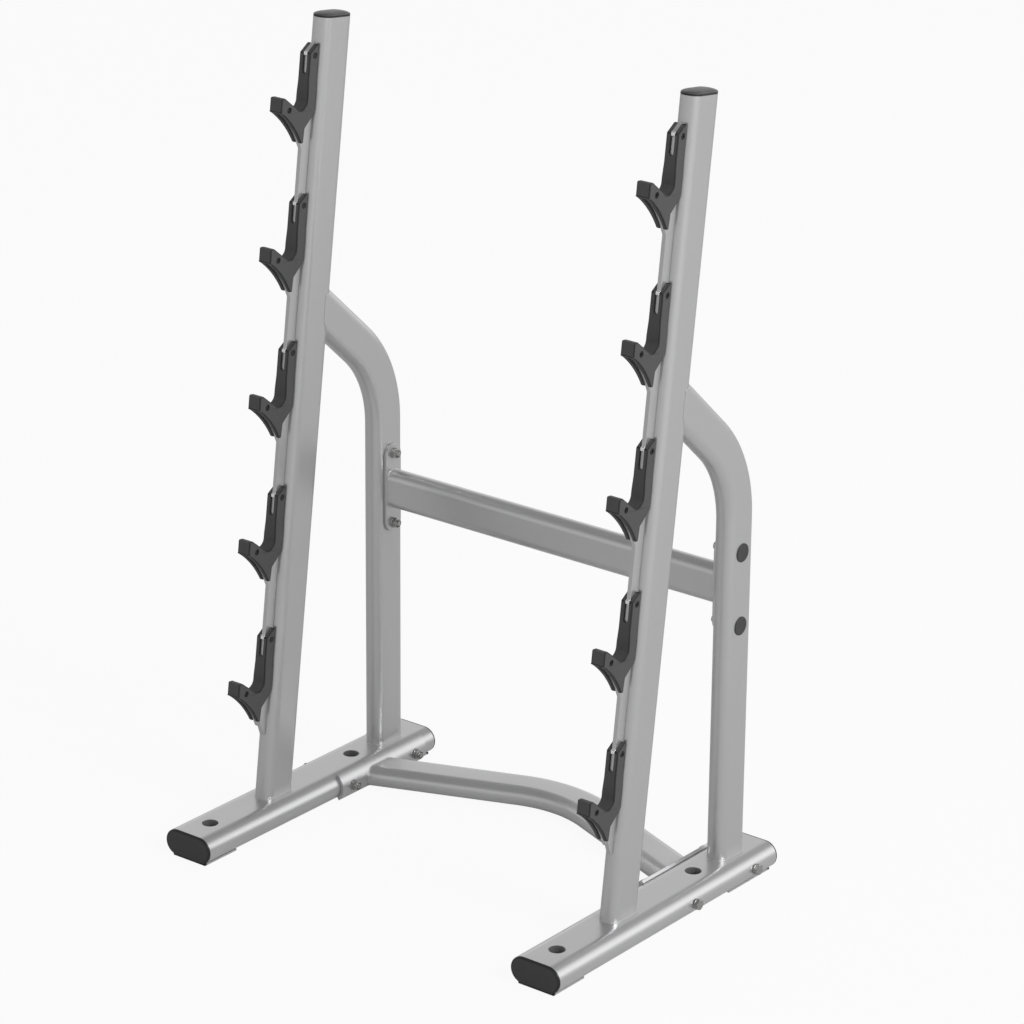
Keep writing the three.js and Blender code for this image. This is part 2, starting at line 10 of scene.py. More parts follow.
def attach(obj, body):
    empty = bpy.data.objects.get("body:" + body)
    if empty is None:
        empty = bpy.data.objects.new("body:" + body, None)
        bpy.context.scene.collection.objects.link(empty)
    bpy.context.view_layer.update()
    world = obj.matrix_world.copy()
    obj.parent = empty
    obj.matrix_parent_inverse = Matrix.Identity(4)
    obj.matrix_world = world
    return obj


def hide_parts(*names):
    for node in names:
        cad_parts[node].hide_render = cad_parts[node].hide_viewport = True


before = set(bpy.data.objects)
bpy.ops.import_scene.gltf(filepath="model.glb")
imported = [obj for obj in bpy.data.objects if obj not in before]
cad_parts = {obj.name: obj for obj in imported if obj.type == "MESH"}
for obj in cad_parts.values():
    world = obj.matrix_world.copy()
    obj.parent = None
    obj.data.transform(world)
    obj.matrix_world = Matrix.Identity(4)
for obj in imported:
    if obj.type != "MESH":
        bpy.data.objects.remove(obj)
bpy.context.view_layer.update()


# Feet. Each side frame stands on a flat-sided oval steel tube with a 3 mm wall, on two pad plates
# welded under its ends. Collared access holes in its top lie over smaller holes for floor anchors.
# The steelwork is powder coated in a satin silver grey, with fine orange peel and faint flakes.
SIDES = {"left": -1, "right": 1}
FRAME_X = 0.384
FOOT_WIDTH = 0.1016
FOOT_HEIGHT = 0.0485
FOOT_WALL = 0.003
FOOT_HALF_LENGTH = 0.3067
FOOT_MIDDLE = 0.02775
FOOT_TOP = 0.052
FOOT_ROUND_STEPS = 20
ACCESS_RADIUS = 0.0145
ACCESS_EDGE = 0.0009
COLLAR_WALL = 0.0015
COLLAR_DEPTH = 0.016
ANCHOR_RADIUS = 0.007
ANCHOR_PLACES = (-0.251, 0.130)
PAD_WIDTH = 0.074
PAD_THICKNESS = 0.0038
PAD_EDGE = 0.0006
PAD_INNER_ENDS = (-0.224, 0.186)
HEEL_LENGTH = 0.005
PAINT_COLOUR = (0.52, 0.52, 0.524, 1)
PAINT_FLAKE = (0.6, 0.6, 0.604, 1)


def set_inputs(node, values):
    """Sets the values of a node's inputs, each given by its name or number."""
    for socket, value in values.items():
        node.inputs[socket].default_value = value


def add_node(tree, kind, values=None, **settings):
    """A new node, with its settings and the values of its inputs."""
    node = tree.nodes.new(kind)
    for name, value in settings.items():
        setattr(node, name, value)
    set_inputs(node, values or {})
    return node


def wire(*links):
    """Links nodes, each link from one node's output to another's input."""
    for source, output, target, socket in links:
        source.id_data.links.new(source.outputs[output], target.inputs[socket])


def object_noise(tree, pattern):
    """Noise on the object's own coordinates, with a pattern's cells per metre and detail."""
    coordinates = add_node(tree, "ShaderNodeTexCoord")
    values = {"Scale": pattern["cells"], "Detail": pattern["detail"]}
    noise = add_node(tree, "ShaderNodeTexNoise", values)
    wire((coordinates, "Object", noise, "Vector"))
    return noise


def new_material(name, values, tint, rough=None, relief=None):
    """A material whose tint, and roughness and relief where given, each follow a noise."""
    material = bpy.data.materials.new(name)
    material.use_nodes = True
    tree = material.node_tree
    shader = tree.nodes["Principled BSDF"]
    set_inputs(shader, values)
    ramp = add_node(tree, "ShaderNodeValToRGB")
    for stop, (position, colour) in zip(ramp.color_ramp.elements, tint["stops"]):
        stop.position = position
        stop.color = colour
    noise = object_noise(tree, tint)
    wire((noise, "Fac", ramp, "Fac"), (ramp, "Color", shader, "Base Color"))
    if rough:
        ends = {"To Min": rough["low"], "To Max": rough["high"]}
        spread = add_node(tree, "ShaderNodeMapRange", ends)
        noise = object_noise(tree, rough)
        wire((noise, "Fac", spread, "Value"), (spread, "Result", shader, "Roughness"))
    if relief:
        height = {"Distance": relief["depth"], "Strength": relief["strength"]}
        bump = add_node(tree, "ShaderNodeBump", height)
        noise = object_noise(tree, relief)
        wire((noise, "Fac", bump, "Height"), (bump, "Normal", shader, "Normal"))
    return material


def flat_oval(across, along, steps=14):
    """Points round a flat-sided oval whose short way is fully round."""
    radius = min(across, along) / 2
    gap_u = across / 2 - radius
    gap_v = along / 2 - radius
    start = 0 if along >= across else -math.pi / 2
    points = []
    for half, way in enumerate((1, -1)):
        for i in range(steps + 1):
            angle = start + math.pi * (half + i / steps)
            u = way * gap_u + radius * math.cos(angle)
            points.append((u, way * gap_v + radius * math.sin(angle)))
    return points


def new_object(name, data):
    """An object at the origin, linked into the scene."""
    made = bpy.data.objects.new(name, data)
    bpy.context.collection.objects.link(made)
    return made


def mesh_piece(name, points, faces, *materials):
    """An object from points and faces, with its faces turned outwards."""
    mesh = bpy.data.meshes.new(name)
    mesh.from_pydata(points, [], faces)
    skin = bmesh.new()
    skin.from_mesh(mesh)
    bmesh.ops.recalc_face_normals(skin, faces=skin.faces)
    skin.to_mesh(mesh)
    skin.free()
    for material in materials:
        mesh.materials.append(material)
    return new_object(name, mesh)


def loft(name, rings, *materials):
    """A closed skin over rings of equally many points."""
    count = len(rings[0])
    last = count * (len(rings) - 1)
    faces = [tuple(range(count)), tuple(range(last, last + count))]
    for level in range(0, last, count):
        for i in range(count):
            near = level + i
            far = level + (i + 1) % count
            faces.append((near, far, far + count, near + count))
    return mesh_piece(name, [point for ring in rings for point in ring], faces, *materials)


def settle(piece):
    """Turns what a piece's modifiers make into its plain mesh."""
    graph = bpy.context.evaluated_depsgraph_get()
    made = bpy.data.meshes.new_from_object(piece.evaluated_get(graph), depsgraph=graph)
    piece.modifiers.clear()
    piece.data = made


def carve(piece, *cutters, way="DIFFERENCE"):
    """Cuts other solids out of a piece, or joins them to it, and throws them away."""
    for cutter in cutters:
        step = piece.modifiers.new("carve", "BOOLEAN")
        step.operation = way
        step.solver = "MANIFOLD"
        step.object = cutter
    settle(piece)
    for cutter in cutters:
        bpy.data.objects.remove(cutter)


def soften(piece, width, segments=2, angle=35, material=-1):
    """Rounds the edges that are sharper than the angle. The rounding can have its own material."""
    step = piece.modifiers.new("soften", "BEVEL")
    step.width = width
    step.segments = segments
    step.limit_method = "ANGLE"
    step.angle_limit = math.radians(angle)
    step.material = material
    settle(piece)


def smooth(piece, angle=40):
    """Smooth shading in which the large flat faces stay flat."""
    piece.data.shade_smooth()
    piece.data.set_sharp_from_angle(angle=math.radians(angle))
    step = piece.modifiers.new("smooth", "WEIGHTED_NORMAL")
    step.keep_sharp = True
    settle(piece)


def lathe(name, profile, *materials, sides=32):
    """A closed turned piece along X, from (radius, distance along X) pairs."""
    turns = [2 * math.pi * i / sides for i in range(sides)]
    rings = []
    for radius, reach in profile:
        rings.append([(reach, radius * math.cos(turn), radius * math.sin(turn)) for turn in turns])
    return loft(name, rings, *materials)


def upright_cutter(radius, low, high, y):
    """A plain round cutter that stands along Z."""
    cutter = lathe("cutter", ((radius, low), (radius, high)))
    cutter.data.transform(Matrix.Translation((0, y, 0)) @ Matrix.Rotation(-math.pi / 2, 4, "Y"))
    return cutter


def turn_over(piece):
    """Mirrors a piece across X = 0 and keeps its faces turned outwards."""
    piece.data.transform(Matrix.Scale(-1, 4, (1, 0, 0)))
    piece.data.flip_normals()


def side_pieces(model, name, node, mirrored=False):
    """Copies a model, made about X = 0, into both side frames. A mirrored one is turned over."""
    for side, way in SIDES.items():
        piece = new_object(f"{name}_{side}", model.data.copy())
        if mirrored and way < 0:
            turn_over(piece)
        piece.data.transform(Matrix.Translation((way * FRAME_X, 0, 0)))
        smooth(piece)
        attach(piece, "root")
        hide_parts(f"{node}_{side}")
    bpy.data.objects.remove(model)


def foot_ring(outline, y):
    """A ring of an outline that runs along the foot."""
    return [(u, y, FOOT_MIDDLE + v) for u, v in outline]


def foot_length(outline, reach, *materials):
    """A straight length of an outline, with the same reach to the front and to the rear."""
    return loft("foot", [foot_ring(outline, way * reach) for way in (-1, 1)], *materials)


def pad_block(inner_y, outer_y, thickness, material):
    """A plate as wide as the pads, from the floor up, with rounded edges."""
    half = PAD_WIDTH / 2
    corners = ((-half, 0), (half, 0), (half, thickness), (-half, thickness))
    plate = loft("pad", [[(x, y, z) for x, z in corners] for y in (inner_y, outer_y)], material)
    soften(plate, PAD_EDGE)
    return plate


paint = new_material(
    "silver_powder_coat",
    {"Metallic": 0.8, "Roughness": 0.32, "Coat Weight": 0.12, "Coat Roughness": 0.3},
    tint={"cells": 2600, "detail": 1, "stops": ((0.35, PAINT_COLOUR), (0.7, PAINT_FLAKE))},
    rough={"cells": 9, "detail": 3, "low": 0.28, "high": 0.34},
    relief={"cells": 700, "detail": 2, "depth": 0.0002, "strength": 0.12},
)
foot_outline = flat_oval(FOOT_WIDTH, FOOT_HEIGHT, FOOT_ROUND_STEPS)
foot_bore = flat_oval(FOOT_WIDTH - 2 * FOOT_WALL, FOOT_HEIGHT - 2 * FOOT_WALL, FOOT_ROUND_STEPS)
foot = foot_length(foot_outline, FOOT_HALF_LENGTH, paint)
carve(foot, foot_length(foot_bore, 2 * FOOT_HALF_LENGTH))
collar_top = FOOT_TOP - FOOT_WALL / 2
for y in ANCHOR_PLACES:
    collar = upright_cutter(ACCESS_RADIUS + COLLAR_WALL, FOOT_TOP - COLLAR_DEPTH, collar_top, y)
    carve(foot, collar, way="UNION")
    carve(foot, upright_cutter(ACCESS_RADIUS, FOOT_MIDDLE, 2 * FOOT_TOP, y))
soften(foot, ACCESS_EDGE)
for inner_y in PAD_INNER_ENDS:
    outer_y = math.copysign(FOOT_HALF_LENGTH - HEEL_LENGTH, inner_y)
    carve(foot, pad_block(inner_y, outer_y, PAD_THICKNESS, paint), way="UNION")
carve(foot, *[upright_cutter(ANCHOR_RADIUS, -FOOT_MIDDLE, FOOT_MIDDLE, y) for y in ANCHOR_PLACES])
side_pieces(foot, "foot", "foot_tube")


# End caps of the feet: moulded black plastic, pushed into the tube, with a smooth rounded rim
# round a finely textured face. A short heel of the same plastic closes the end of each pad.
ENDS = {"front": -1, "rear": 1}
FIT = 0.0003
FLUSH = 0.00001
CAP_FACE_Y = 0.311
CAP_THICKNESS = 0.004
CAP_RIM = 0.0032
CAP_RIM_STEPS = 5
CAP_COLOUR = (0.042, 0.042, 0.043, 1)
CAP_GRAIN = (0.05, 0.05, 0.051, 1)
RIM_COLOUR = (0.02, 0.02, 0.0205, 1)
POLISH_CONTRAST = 1.15


def textured_plastic(name, dark, light, roughness):
    """Plastic from a finely textured part of the mould."""
    return new_material(
        name,
        {"Roughness": roughness, "Specular IOR Level": 0.35},
        tint={"cells": 1400, "detail": 3, "stops": ((0.3, dark), (0.75, light))},
        relief={"cells": 1900, "detail": 2, "depth": 0.0003, "strength": 0.25},
    )


def polished_plastic(name, colour, roughness):
    """Plastic from a smooth part of the mould, a little lighter in places."""
    lighter = [POLISH_CONTRAST * part for part in colour[:3]] + [1]
    return new_material(
        name,
        {"Roughness": roughness, "Specular IOR Level": 0.3},
        tint={"cells": 60, "detail": 2, "stops": ((0.2, colour), (0.8, lighter))},
    )


def joined(name, pieces):
    """Several closed shells as one object, with all their materials."""
    whole = bmesh.new()
    materials = []
    for piece in pieces:
        first = len(whole.faces)
        whole.from_mesh(piece.data)
        whole.faces.ensure_lookup_table()
        for face in whole.faces[first:]:
            material = piece.data.materials[face.material_index]
            if material not in materials:
                materials.append(material)
            face.material_index = materials.index(material)
        bpy.data.objects.remove(piece)
    mesh = bpy.data.meshes.new(name)
    whole.to_mesh(mesh)
    whole.free()
    for material in materials:
        mesh.materials.append(material)
    return new_object(name, mesh)


def end_cap(way):
    """A cap with its heel. Its back is flat, and its rim rounds over to a flat face."""
    rings = [foot_ring(foot_outline, way * (CAP_FACE_Y - CAP_THICKNESS))]
    for i in range(CAP_RIM_STEPS + 1):
        turn = math.pi / 2 * i / CAP_RIM_STEPS
        drawn_in = 2 * CAP_RIM * (1 - math.cos(turn))
        outline = flat_oval(FOOT_WIDTH - drawn_in, FOOT_HEIGHT - drawn_in, FOOT_ROUND_STEPS)
        rings.append(foot_ring(outline, way * (CAP_FACE_Y - CAP_RIM * (1 - math.sin(turn)))))
    cap = loft("cap", rings, cap_plastic, rim_plastic)
    for face in cap.data.polygons:
        face.material_index = 0 if abs(face.center.y) > CAP_FACE_Y - FLUSH else 1
    inner_y, outer_y = way * (FOOT_HALF_LENGTH - HEEL_LENGTH), way * FOOT_HALF_LENGTH
    heel = pad_block(inner_y, outer_y, PAD_THICKNESS - FIT, rim_plastic)
    return joined("cap", [cap, heel])


cap_plastic = textured_plastic("cap_texture", CAP_COLOUR, CAP_GRAIN, roughness=0.55)
rim_plastic = polished_plastic("cap_rim", RIM_COLOUR, roughness=0.4)
for place, way in ENDS.items():
    side_pieces(end_cap(way), f"end_cap_{place}", f"foot_cap_{place}")


# Uprights: flat-sided oval tube that leans back from the foot, cut to the foot's flat top and
# welded there. Everything that leans is made about the upright's foot, with Z up the tube and -Y
# to the front.
TUBE_WIDTH = 0.0381
TUBE_DEPTH = 0.0762
LEAN = math.radians(7.26)
UPRIGHT_LENGTH = 1.394
UPRIGHT_FOOT_Y = -0.0846
upright_foot = (0, UPRIGHT_FOOT_Y, FOOT_TOP)
lean_back = Matrix.Translation(upright_foot) @ Matrix.Rotation(-LEAN, 4, "X")
tube_outline = flat_oval(TUBE_WIDTH, TUBE_DEPTH)
upright_foot_ring = [(u, v, v * math.tan(LEAN)) for u, v in tube_outline]
upright_top_ring = [(u, v, UPRIGHT_LENGTH) for u, v in tube_outline]
upright = loft("upright", [upright_foot_ring, upright_top_ring], paint)
upright.data.transform(lean_back)
side_pieces(upright, "upright", "front_upright")


# Caps of the uprights: black plastic plugs with a smooth dome, on a thin dark rim that stands on
# the end of the tube.
TOP_CAP_EDGE = 0.0033
TOP_CAP_RISE = 0.0059
TOP_CAP_LEAD = TOP_CAP_EDGE / 4
TOP_CAP_SEAT_SHARE = 0.985
DOME_STEPS = 16
DOME_COLOUR = (0.07, 0.07, 0.071, 1)


def oval_ring(share, height):
    """The tube's outline, drawn in to a share of its size."""
    return [(share * u, share * v, UPRIGHT_LENGTH + height) for u, v in tube_outline]


dome = [oval_ring(TOP_CAP_SEAT_SHARE, 0), oval_ring(1, TOP_CAP_LEAD), oval_ring(1, TOP_CAP_EDGE)]
for i in range(1, DOME_STEPS):
    turn = math.pi / 2 * i / DOME_STEPS
    dome.append(oval_ring(math.cos(turn), TOP_CAP_EDGE + TOP_CAP_RISE * math.sin(turn)))
dome_plastic = polished_plastic("dome_plastic", DOME_COLOUR, roughness=0.38)
top_cap = loft("top_cap", dome, dome_plastic, rim_plastic)
for face in top_cap.data.polygons:
    if face.center.z < UPRIGHT_LENGTH + TOP_CAP_EDGE:
        face.material_index = 1
top_cap.data.transform(lean_back)
side_pieces(top_cap, "domed_cap", "top_cap")


# Rear posts: the same tube, straight up from the foot, then bent forward and cut to the round back
# of the upright, where it is welded.
POST_Y = 0.222
POST_BEND_HEIGHT = 0.671
POST_BEND_RADIUS = 0.217
POST_BEND_ANGLE = math.radians(47.6)
POST_BEND_STEPS = 28


def post_ring(turn, reach=None):
    """A ring of the post at a turn of its bend. Without a reach it runs on to the upright."""
    forward = Vector((0, -math.sin(turn), math.cos(turn)))
    outward = Vector((0, math.cos(turn), math.sin(turn)))
    y = POST_Y - POST_BEND_RADIUS * (1 - math.cos(turn))
    centre = Vector((0, y, POST_BEND_HEIGHT + POST_BEND_RADIUS * math.sin(turn)))
    ring = []
    for u, v in tube_outline:
        point = centre + Vector((u, 0, 0)) + v * outward
        run = reach
        if run is None:
            behind = (point.y - UPRIGHT_FOOT_Y) * math.cos(LEAN)
            depth = behind - (point.z - FOOT_TOP) * math.sin(LEAN)
            round_back = math.sqrt(max((TUBE_WIDTH / 2) ** 2 - u * u, 0))
            run = (depth - round_back - (TUBE_DEPTH - TUBE_WIDTH) / 2) / math.sin(turn + LEAN)
        ring.append(point + forward * run)
    return ring


post_rings = [post_ring(0, FOOT_TOP - POST_BEND_HEIGHT)]
for i in range(POST_BEND_STEPS + 1):
    post_rings.append(post_ring(POST_BEND_ANGLE * i / POST_BEND_STEPS, 0))
post_rings.append(post_ring(POST_BEND_ANGLE))
side_pieces(loft("post", post_rings, paint), "bent_post", "rear_post")


# Hook rails: one flat steel plate along the front of each upright, cut with five hooks. At each
# hook a nib with a rounded nose stands in the window of the saddle. The faces of each nib take a
# near-white metal, a painted highlight.
HOOK_COUNT = 5
TOP_HOOK = 1.350
HOOK_PITCH = 0.2584
RAIL_THICKNESS = 0.008
RAIL_DEPTH = 0.0205
RAIL_TAIL = 0.030
RAIL_NOSE = 0.006
RAIL_EDGE = 0.0007
SADDLE_SKIN = 0.004
SADDLE_HEIGHT = 0.169
SADDLE_REACH = 0.0905
SADDLE_FACE = RAIL_DEPTH + SADDLE_SKIN
CHAMFER_RUN = 0.0175
CHAMFER_RISE = 0.015
CRADLE_RADIUS = 0.015
CRADLE_DROP = 0.0955
CRADLE_REACH = SADDLE_FACE + CRADLE_RADIUS
RAMP_ANGLE = math.radians(32)
RAMP_TURN = 1.5 * math.pi + RAMP_ANGLE
LIP_DROP = 0.087
LIP_HEIGHT = 0.025
NIB_REACH = 0.003
NIB_HEIGHT = 0.0065
# Near-white metal colours of the painted highlight on the nibs.
HIGHLIGHT_DARK = (0.92, 0.92, 0.92, 1)
HIGHLIGHT_LIGHT = (1, 1, 1, 1)
BELLY_OVERLAP = 0.011
BELLY_REACH_SHARE = 0.38
BELLY_DROP_SHARE = 0.63


def bare_or_highlight_metal(name, dark, light):
    """Bare metal, or a near-white painted highlight, mottled finely, with its polish wandering a
    little.
    """
    return new_material(
        name,
        {"Metallic": 1, "Roughness": 0.28},
        tint={"cells": 400, "detail": 3, "stops": ((0.3, dark), (0.75, light))},
        rough={"cells": 300, "detail": 2, "low": 0.2, "high": 0.36},
    )


def arc(centre, radius, start, end, steps):
    """Points of an arc, from one angle to another."""
    points = []
    for i in range(steps + 1):
        turn = start + (end - start) * i / steps
        points.append((centre[0] + radius * math.cos(turn), centre[1] + radius * math.sin(turn)))
    return points


def curve(start, pull, end, steps):
    """Points of a curve that is drawn towards one point, without its start."""
    points = []
    for i in range(1, steps + 1):
        t = i / steps
        near, middle, far = (1 - t) ** 2, 2 * t * (1 - t), t * t
        points.append(tuple(near * a + middle * b + far * c for a, b, c in zip(start, pull, end)))
    return points


def belly(lip, tail):
    """The point that the curved underside is drawn towards, between the lip and the tail."""
    reach = tail[0] + BELLY_REACH_SHARE * (lip[0] - tail[0])
    return (reach, tail[1] + BELLY_DROP_SHARE * (lip[1] - tail[1]))


def ramp_height(radius, reach, top):
    """How high the ramp of a cradle of this radius is at a reach."""
    start_reach = CRADLE_REACH + radius * math.sin(RAMP_ANGLE)
    start_height = top - CRADLE_DROP - radius * math.cos(RAMP_ANGLE)
    return start_height + (reach - start_reach) * math.tan(RAMP_ANGLE)


def side_plate(name, outline, thickness, *materials):
    """A plate cut to a side outline, centred on X = 0, on the front of the upright."""
    rings = []
    for x in (-thickness / 2, thickness / 2):
        rings.append([(x, -(TUBE_DEPTH / 2 + reach), height) for reach, height in outline])
    return loft(name, rings, *materials)


def chamfer_drop(reach):
    """How far the chamfer at the top of a saddle has come down at a reach."""
    return (reach - SADDLE_FACE + CHAMFER_RUN) * CHAMFER_RISE / CHAMFER_RUN


def hook_outline(top):
    """One hook of the rail, from its tail round its lip and its cradle to its nib."""
    reach = SADDLE_REACH - SADDLE_SKIN - FIT
    under = (reach, top - LIP_DROP - LIP_HEIGHT + SADDLE_SKIN)
    tail = (RAIL_DEPTH, top - SADDLE_HEIGHT - BELLY_OVERLAP)
    inner = reach - SADDLE_SKIN
    radius = CRADLE_RADIUS + SADDLE_SKIN
    height = ramp_height(radius, inner, top)
    points = [tail] + curve(tail, belly(under, tail), under, steps=10)
    points += [(reach, height), (inner, height)]
    points += arc((CRADLE_REACH, top - CRADLE_DROP), radius, RAMP_TURN, math.pi, steps=14)
    nib = RAIL_DEPTH + NIB_REACH
    high = (nib, top - chamfer_drop(nib))
    low = (nib, high[1] - NIB_HEIGHT)
    foot = (RAIL_DEPTH, low[1])
    points += [foot] + curve(foot, low, (nib, (low[1] + high[1]) / 2), steps=4)
    return points + [high, (RAIL_DEPTH, top - chamfer_drop(RAIL_DEPTH))]


rail_bottom = TOP_HOOK - (HOOK_COUNT - 1) * HOOK_PITCH - SADDLE_HEIGHT - RAIL_TAIL
rail_outline = [(0, rail_bottom), (RAIL_NOSE, rail_bottom), (RAIL_DEPTH, rail_bottom + RAIL_TAIL)]
for index in reversed(range(HOOK_COUNT)):
    rail_outline += hook_outline(TOP_HOOK - index * HOOK_PITCH)
rail_outline += [(SADDLE_FACE - CHAMFER_RUN, TOP_HOOK), (0, TOP_HOOK)]
# The nibs get the near-white metal, which paints the highlight at their noses; the rest is paint.
highlight_steel = bare_or_highlight_metal("rubbed_steel", HIGHLIGHT_DARK, HIGHLIGHT_LIGHT)
rail = side_plate("rail", rail_outline, RAIL_THICKNESS, paint, highlight_steel)
for face in rail.data.polygons:
    reach = -face.center.y - TUBE_DEPTH / 2
    drops = [TOP_HOOK - index * HOOK_PITCH - face.center.z for index in range(HOOK_COUNT)]
    if reach > RAIL_DEPTH and any(0 < drop < 2 * CHAMFER_RISE for drop in drops):
        face.material_index = 1
soften(rail, RAIL_EDGE)
rail.data.transform(lean_back)
side_pieces(rail, "hook_plate", "hook_rail")


# Saddles: a charcoal plastic cover on each hook, with a fine mould texture on its cheeks and
# smooth edges. Its slot takes the rail, a window in its front shows the rail, and two screws clamp
# its cheeks.
SADDLE_WIDTH = 0.027
SADDLE_TOP_WIDTH = 0.024
SADDLE_TAIL_WIDTH = 0.021
SADDLE_STANDOFF = 0.003
SADDLE_ROUND = 0.002
LIP_ROUND = 0.003
TAIL_STANDOFF = 0.0035
TAIL_WIDTH = 0.006
TAIL_LENGTH = 0.026
TAIL_BLEND = 0.025
WINDOW_WIDTH = 0.0104
WINDOW_LENGTH = 0.036
SCREW_BORE = 0.0028
COUNTERBORE = 0.0055
COUNTERBORE_DEPTH = 0.0046
SCREW_SEAT = SADDLE_WIDTH / 2 - COUNTERBORE_DEPTH
UPPER_SCREW = ((SADDLE_STANDOFF + RAIL_DEPTH) / 2, -0.019)
LOWER_SCREW = (0.070, -0.108)
WIDTH_STATIONS = (
    (0, SADDLE_TOP_WIDTH),
    (-LIP_DROP + LIP_HEIGHT, SADDLE_TOP_WIDTH),
    (-LIP_DROP, SADDLE_WIDTH),
    (-LIP_DROP - LIP_HEIGHT, SADDLE_WIDTH),
    (-SADDLE_HEIGHT, SADDLE_TAIL_WIDTH),
)
SADDLE_COLOUR = (0.06, 0.06, 0.061, 1)
SADDLE_GRAIN = (0.085, 0.085, 0.086, 1)
EDGE_COLOUR = (0.022, 0.022, 0.0225, 1)


def saddle_outline():
    """The saddle from the side, with its top at height 0."""
    ramp_start = CRADLE_REACH + CRADLE_RADIUS * math.sin(RAMP_ANGLE)
    ramp_foot = -CRADLE_DROP - CRADLE_RADIUS * math.cos(RAMP_ANGLE)
    ramp_end = ramp_start + (-LIP_DROP - ramp_foot) / math.tan(RAMP_ANGLE)
    points = [(SADDLE_STANDOFF, 0), (SADDLE_FACE - CHAMFER_RUN, 0), (SADDLE_FACE, -CHAMFER_RISE)]
    points += arc((CRADLE_REACH, -CRADLE_DROP), CRADLE_RADIUS, math.pi, RAMP_TURN, steps=18)
    points.append((ramp_end, -LIP_DROP))
    lip_centre = (SADDLE_REACH - LIP_ROUND, -LIP_DROP - LIP_ROUND)
    points += arc(lip_centre, LIP_ROUND, math.pi / 2, 0, steps=4)
    under = (SADDLE_REACH, -LIP_DROP - LIP_HEIGHT)
    tail_rear = RAIL_DEPTH + TAIL_STANDOFF
    tail = (tail_rear + TAIL_WIDTH, -SADDLE_HEIGHT)
    points += [under] + curve(under, belly(under, tail), tail, steps=12)
    blend = (tail_rear, -SADDLE_HEIGHT + TAIL_LENGTH)
    points += [(tail_rear, -SADDLE_HEIGHT), blend]
    pull = ((tail_rear + SADDLE_STANDOFF) / 2, blend[1] + TAIL_BLEND / 2)
    return points + curve(blend, pull, (SADDLE_STANDOFF, blend[1] + TAIL_BLEND), steps=8)


def saddle_half_width(height):
    """Half the saddle's width at a height: widest at the lip, narrower at the top and the tail."""
    for (high, high_width), (low, low_width) in zip(WIDTH_STATIONS, WIDTH_STATIONS[1:]):
        if height >= low:
            share = (high - height) / (high - low)
            return (high_width + share * (low_width - high_width)) / 2
    return SADDLE_TAIL_WIDTH / 2


def rail_slot():
    """What the rail takes out of the middle of a saddle, open at the back, top and bottom."""
    radius = CRADLE_RADIUS + SADDLE_SKIN - FIT
    front = SADDLE_REACH - SADDLE_SKIN
    clear = SADDLE_SKIN
    below = -SADDLE_HEIGHT - 2 * clear
    height = ramp_height(radius, front - SADDLE_SKIN, 0)
    outline = [(-clear, clear), (RAIL_DEPTH + FIT, clear)]
    outline += arc((CRADLE_REACH, -CRADLE_DROP), radius, math.pi, RAMP_TURN, steps=14)
    outline += [(front - SADDLE_SKIN, height), (front, height), (front, below), (-clear, below)]
    return side_plate("cutter", outline, RAIL_THICKNESS + 2 * FIT)


def window_cutter():
    """The opening in the front of a saddle, round at its lower end."""
    radius = WINDOW_WIDTH / 2
    low = -CHAMFER_RISE - WINDOW_LENGTH + radius
    outline = arc((0, low), radius, math.pi, 2 * math.pi, steps=12)
    outline += [(radius, WINDOW_LENGTH), (-radius, WINDOW_LENGTH)]
    front = TUBE_DEPTH / 2 + SADDLE_FACE
    rings = [[(u, -front + way * 2 * SADDLE_SKIN, v) for u, v in outline] for way in (-1, 1)]
    return loft("cutter", rings)


def to_hook(piece, reach, height):
    """Moves a piece to a reach and a height in front of the upright."""
    piece.data.transform(Matrix.Translation((0, -(TUBE_DEPTH / 2 + reach), height)))


def screw_cutters(reach, height):
    """The bore and the two counterbores of a screw."""
    made = [lathe("cutter", ((SCREW_BORE, -SADDLE_WIDTH), (SCREW_BORE, SADDLE_WIDTH)), sides=16)]
    for way in (-1, 1):
        sunk = ((COUNTERBORE, way * SCREW_SEAT), (COUNTERBORE, way * SADDLE_WIDTH))
        made.append(lathe("cutter", sunk, sides=24))
    for cutter in made:
        to_hook(cutter, reach, height)
    return made


saddle_plastic = textured_plastic("saddle_texture", SADDLE_COLOUR, SADDLE_GRAIN, roughness=0.62)
edge_plastic = polished_plastic("saddle_edge", EDGE_COLOUR, roughness=0.42)
saddle = side_plate("saddle", saddle_outline(), 1, saddle_plastic, edge_plastic)
banded = bmesh.new()
banded.from_mesh(saddle.data)
for height, _ in WIDTH_STATIONS[1:-1]:
    everything = banded.verts[:] + banded.edges[:] + banded.faces[:]
    bmesh.ops.bisect_plane(banded, geom=everything, plane_co=(0, 0, height), plane_no=(0, 0, 1))
banded.to_mesh(saddle.data)
banded.free()
for vertex in saddle.data.vertices:
    vertex.co.x = math.copysign(saddle_half_width(vertex.co.z), vertex.co.x)
soften(saddle, SADDLE_ROUND, segments=3, material=1)
carve(saddle, rail_slot(), window_cutter())
carve(saddle, *screw_cutters(*UPPER_SCREW), *screw_cutters(*LOWER_SCREW))


def new_tree(name, inputs):
    """A tree, the node that gives its named inputs, and the sockets that set them."""
    tree = bpy.data.node_groups.new(name, "GeometryNodeTree")
    sockets = {}
    for label, (kind, value) in inputs.items():
        socket_type = f"NodeSocket{kind}"
        socket = tree.interface.new_socket(name=label, in_out="INPUT", socket_type=socket_type)
        if value is not None:
            socket.default_value = value
        sockets[label] = socket.identifier
    tree.interface.new_socket(name="Geometry", in_out="OUTPUT", socket_type="NodeSocketGeometry")
    return tree, add_node(tree, "NodeGroupInput"), sockets


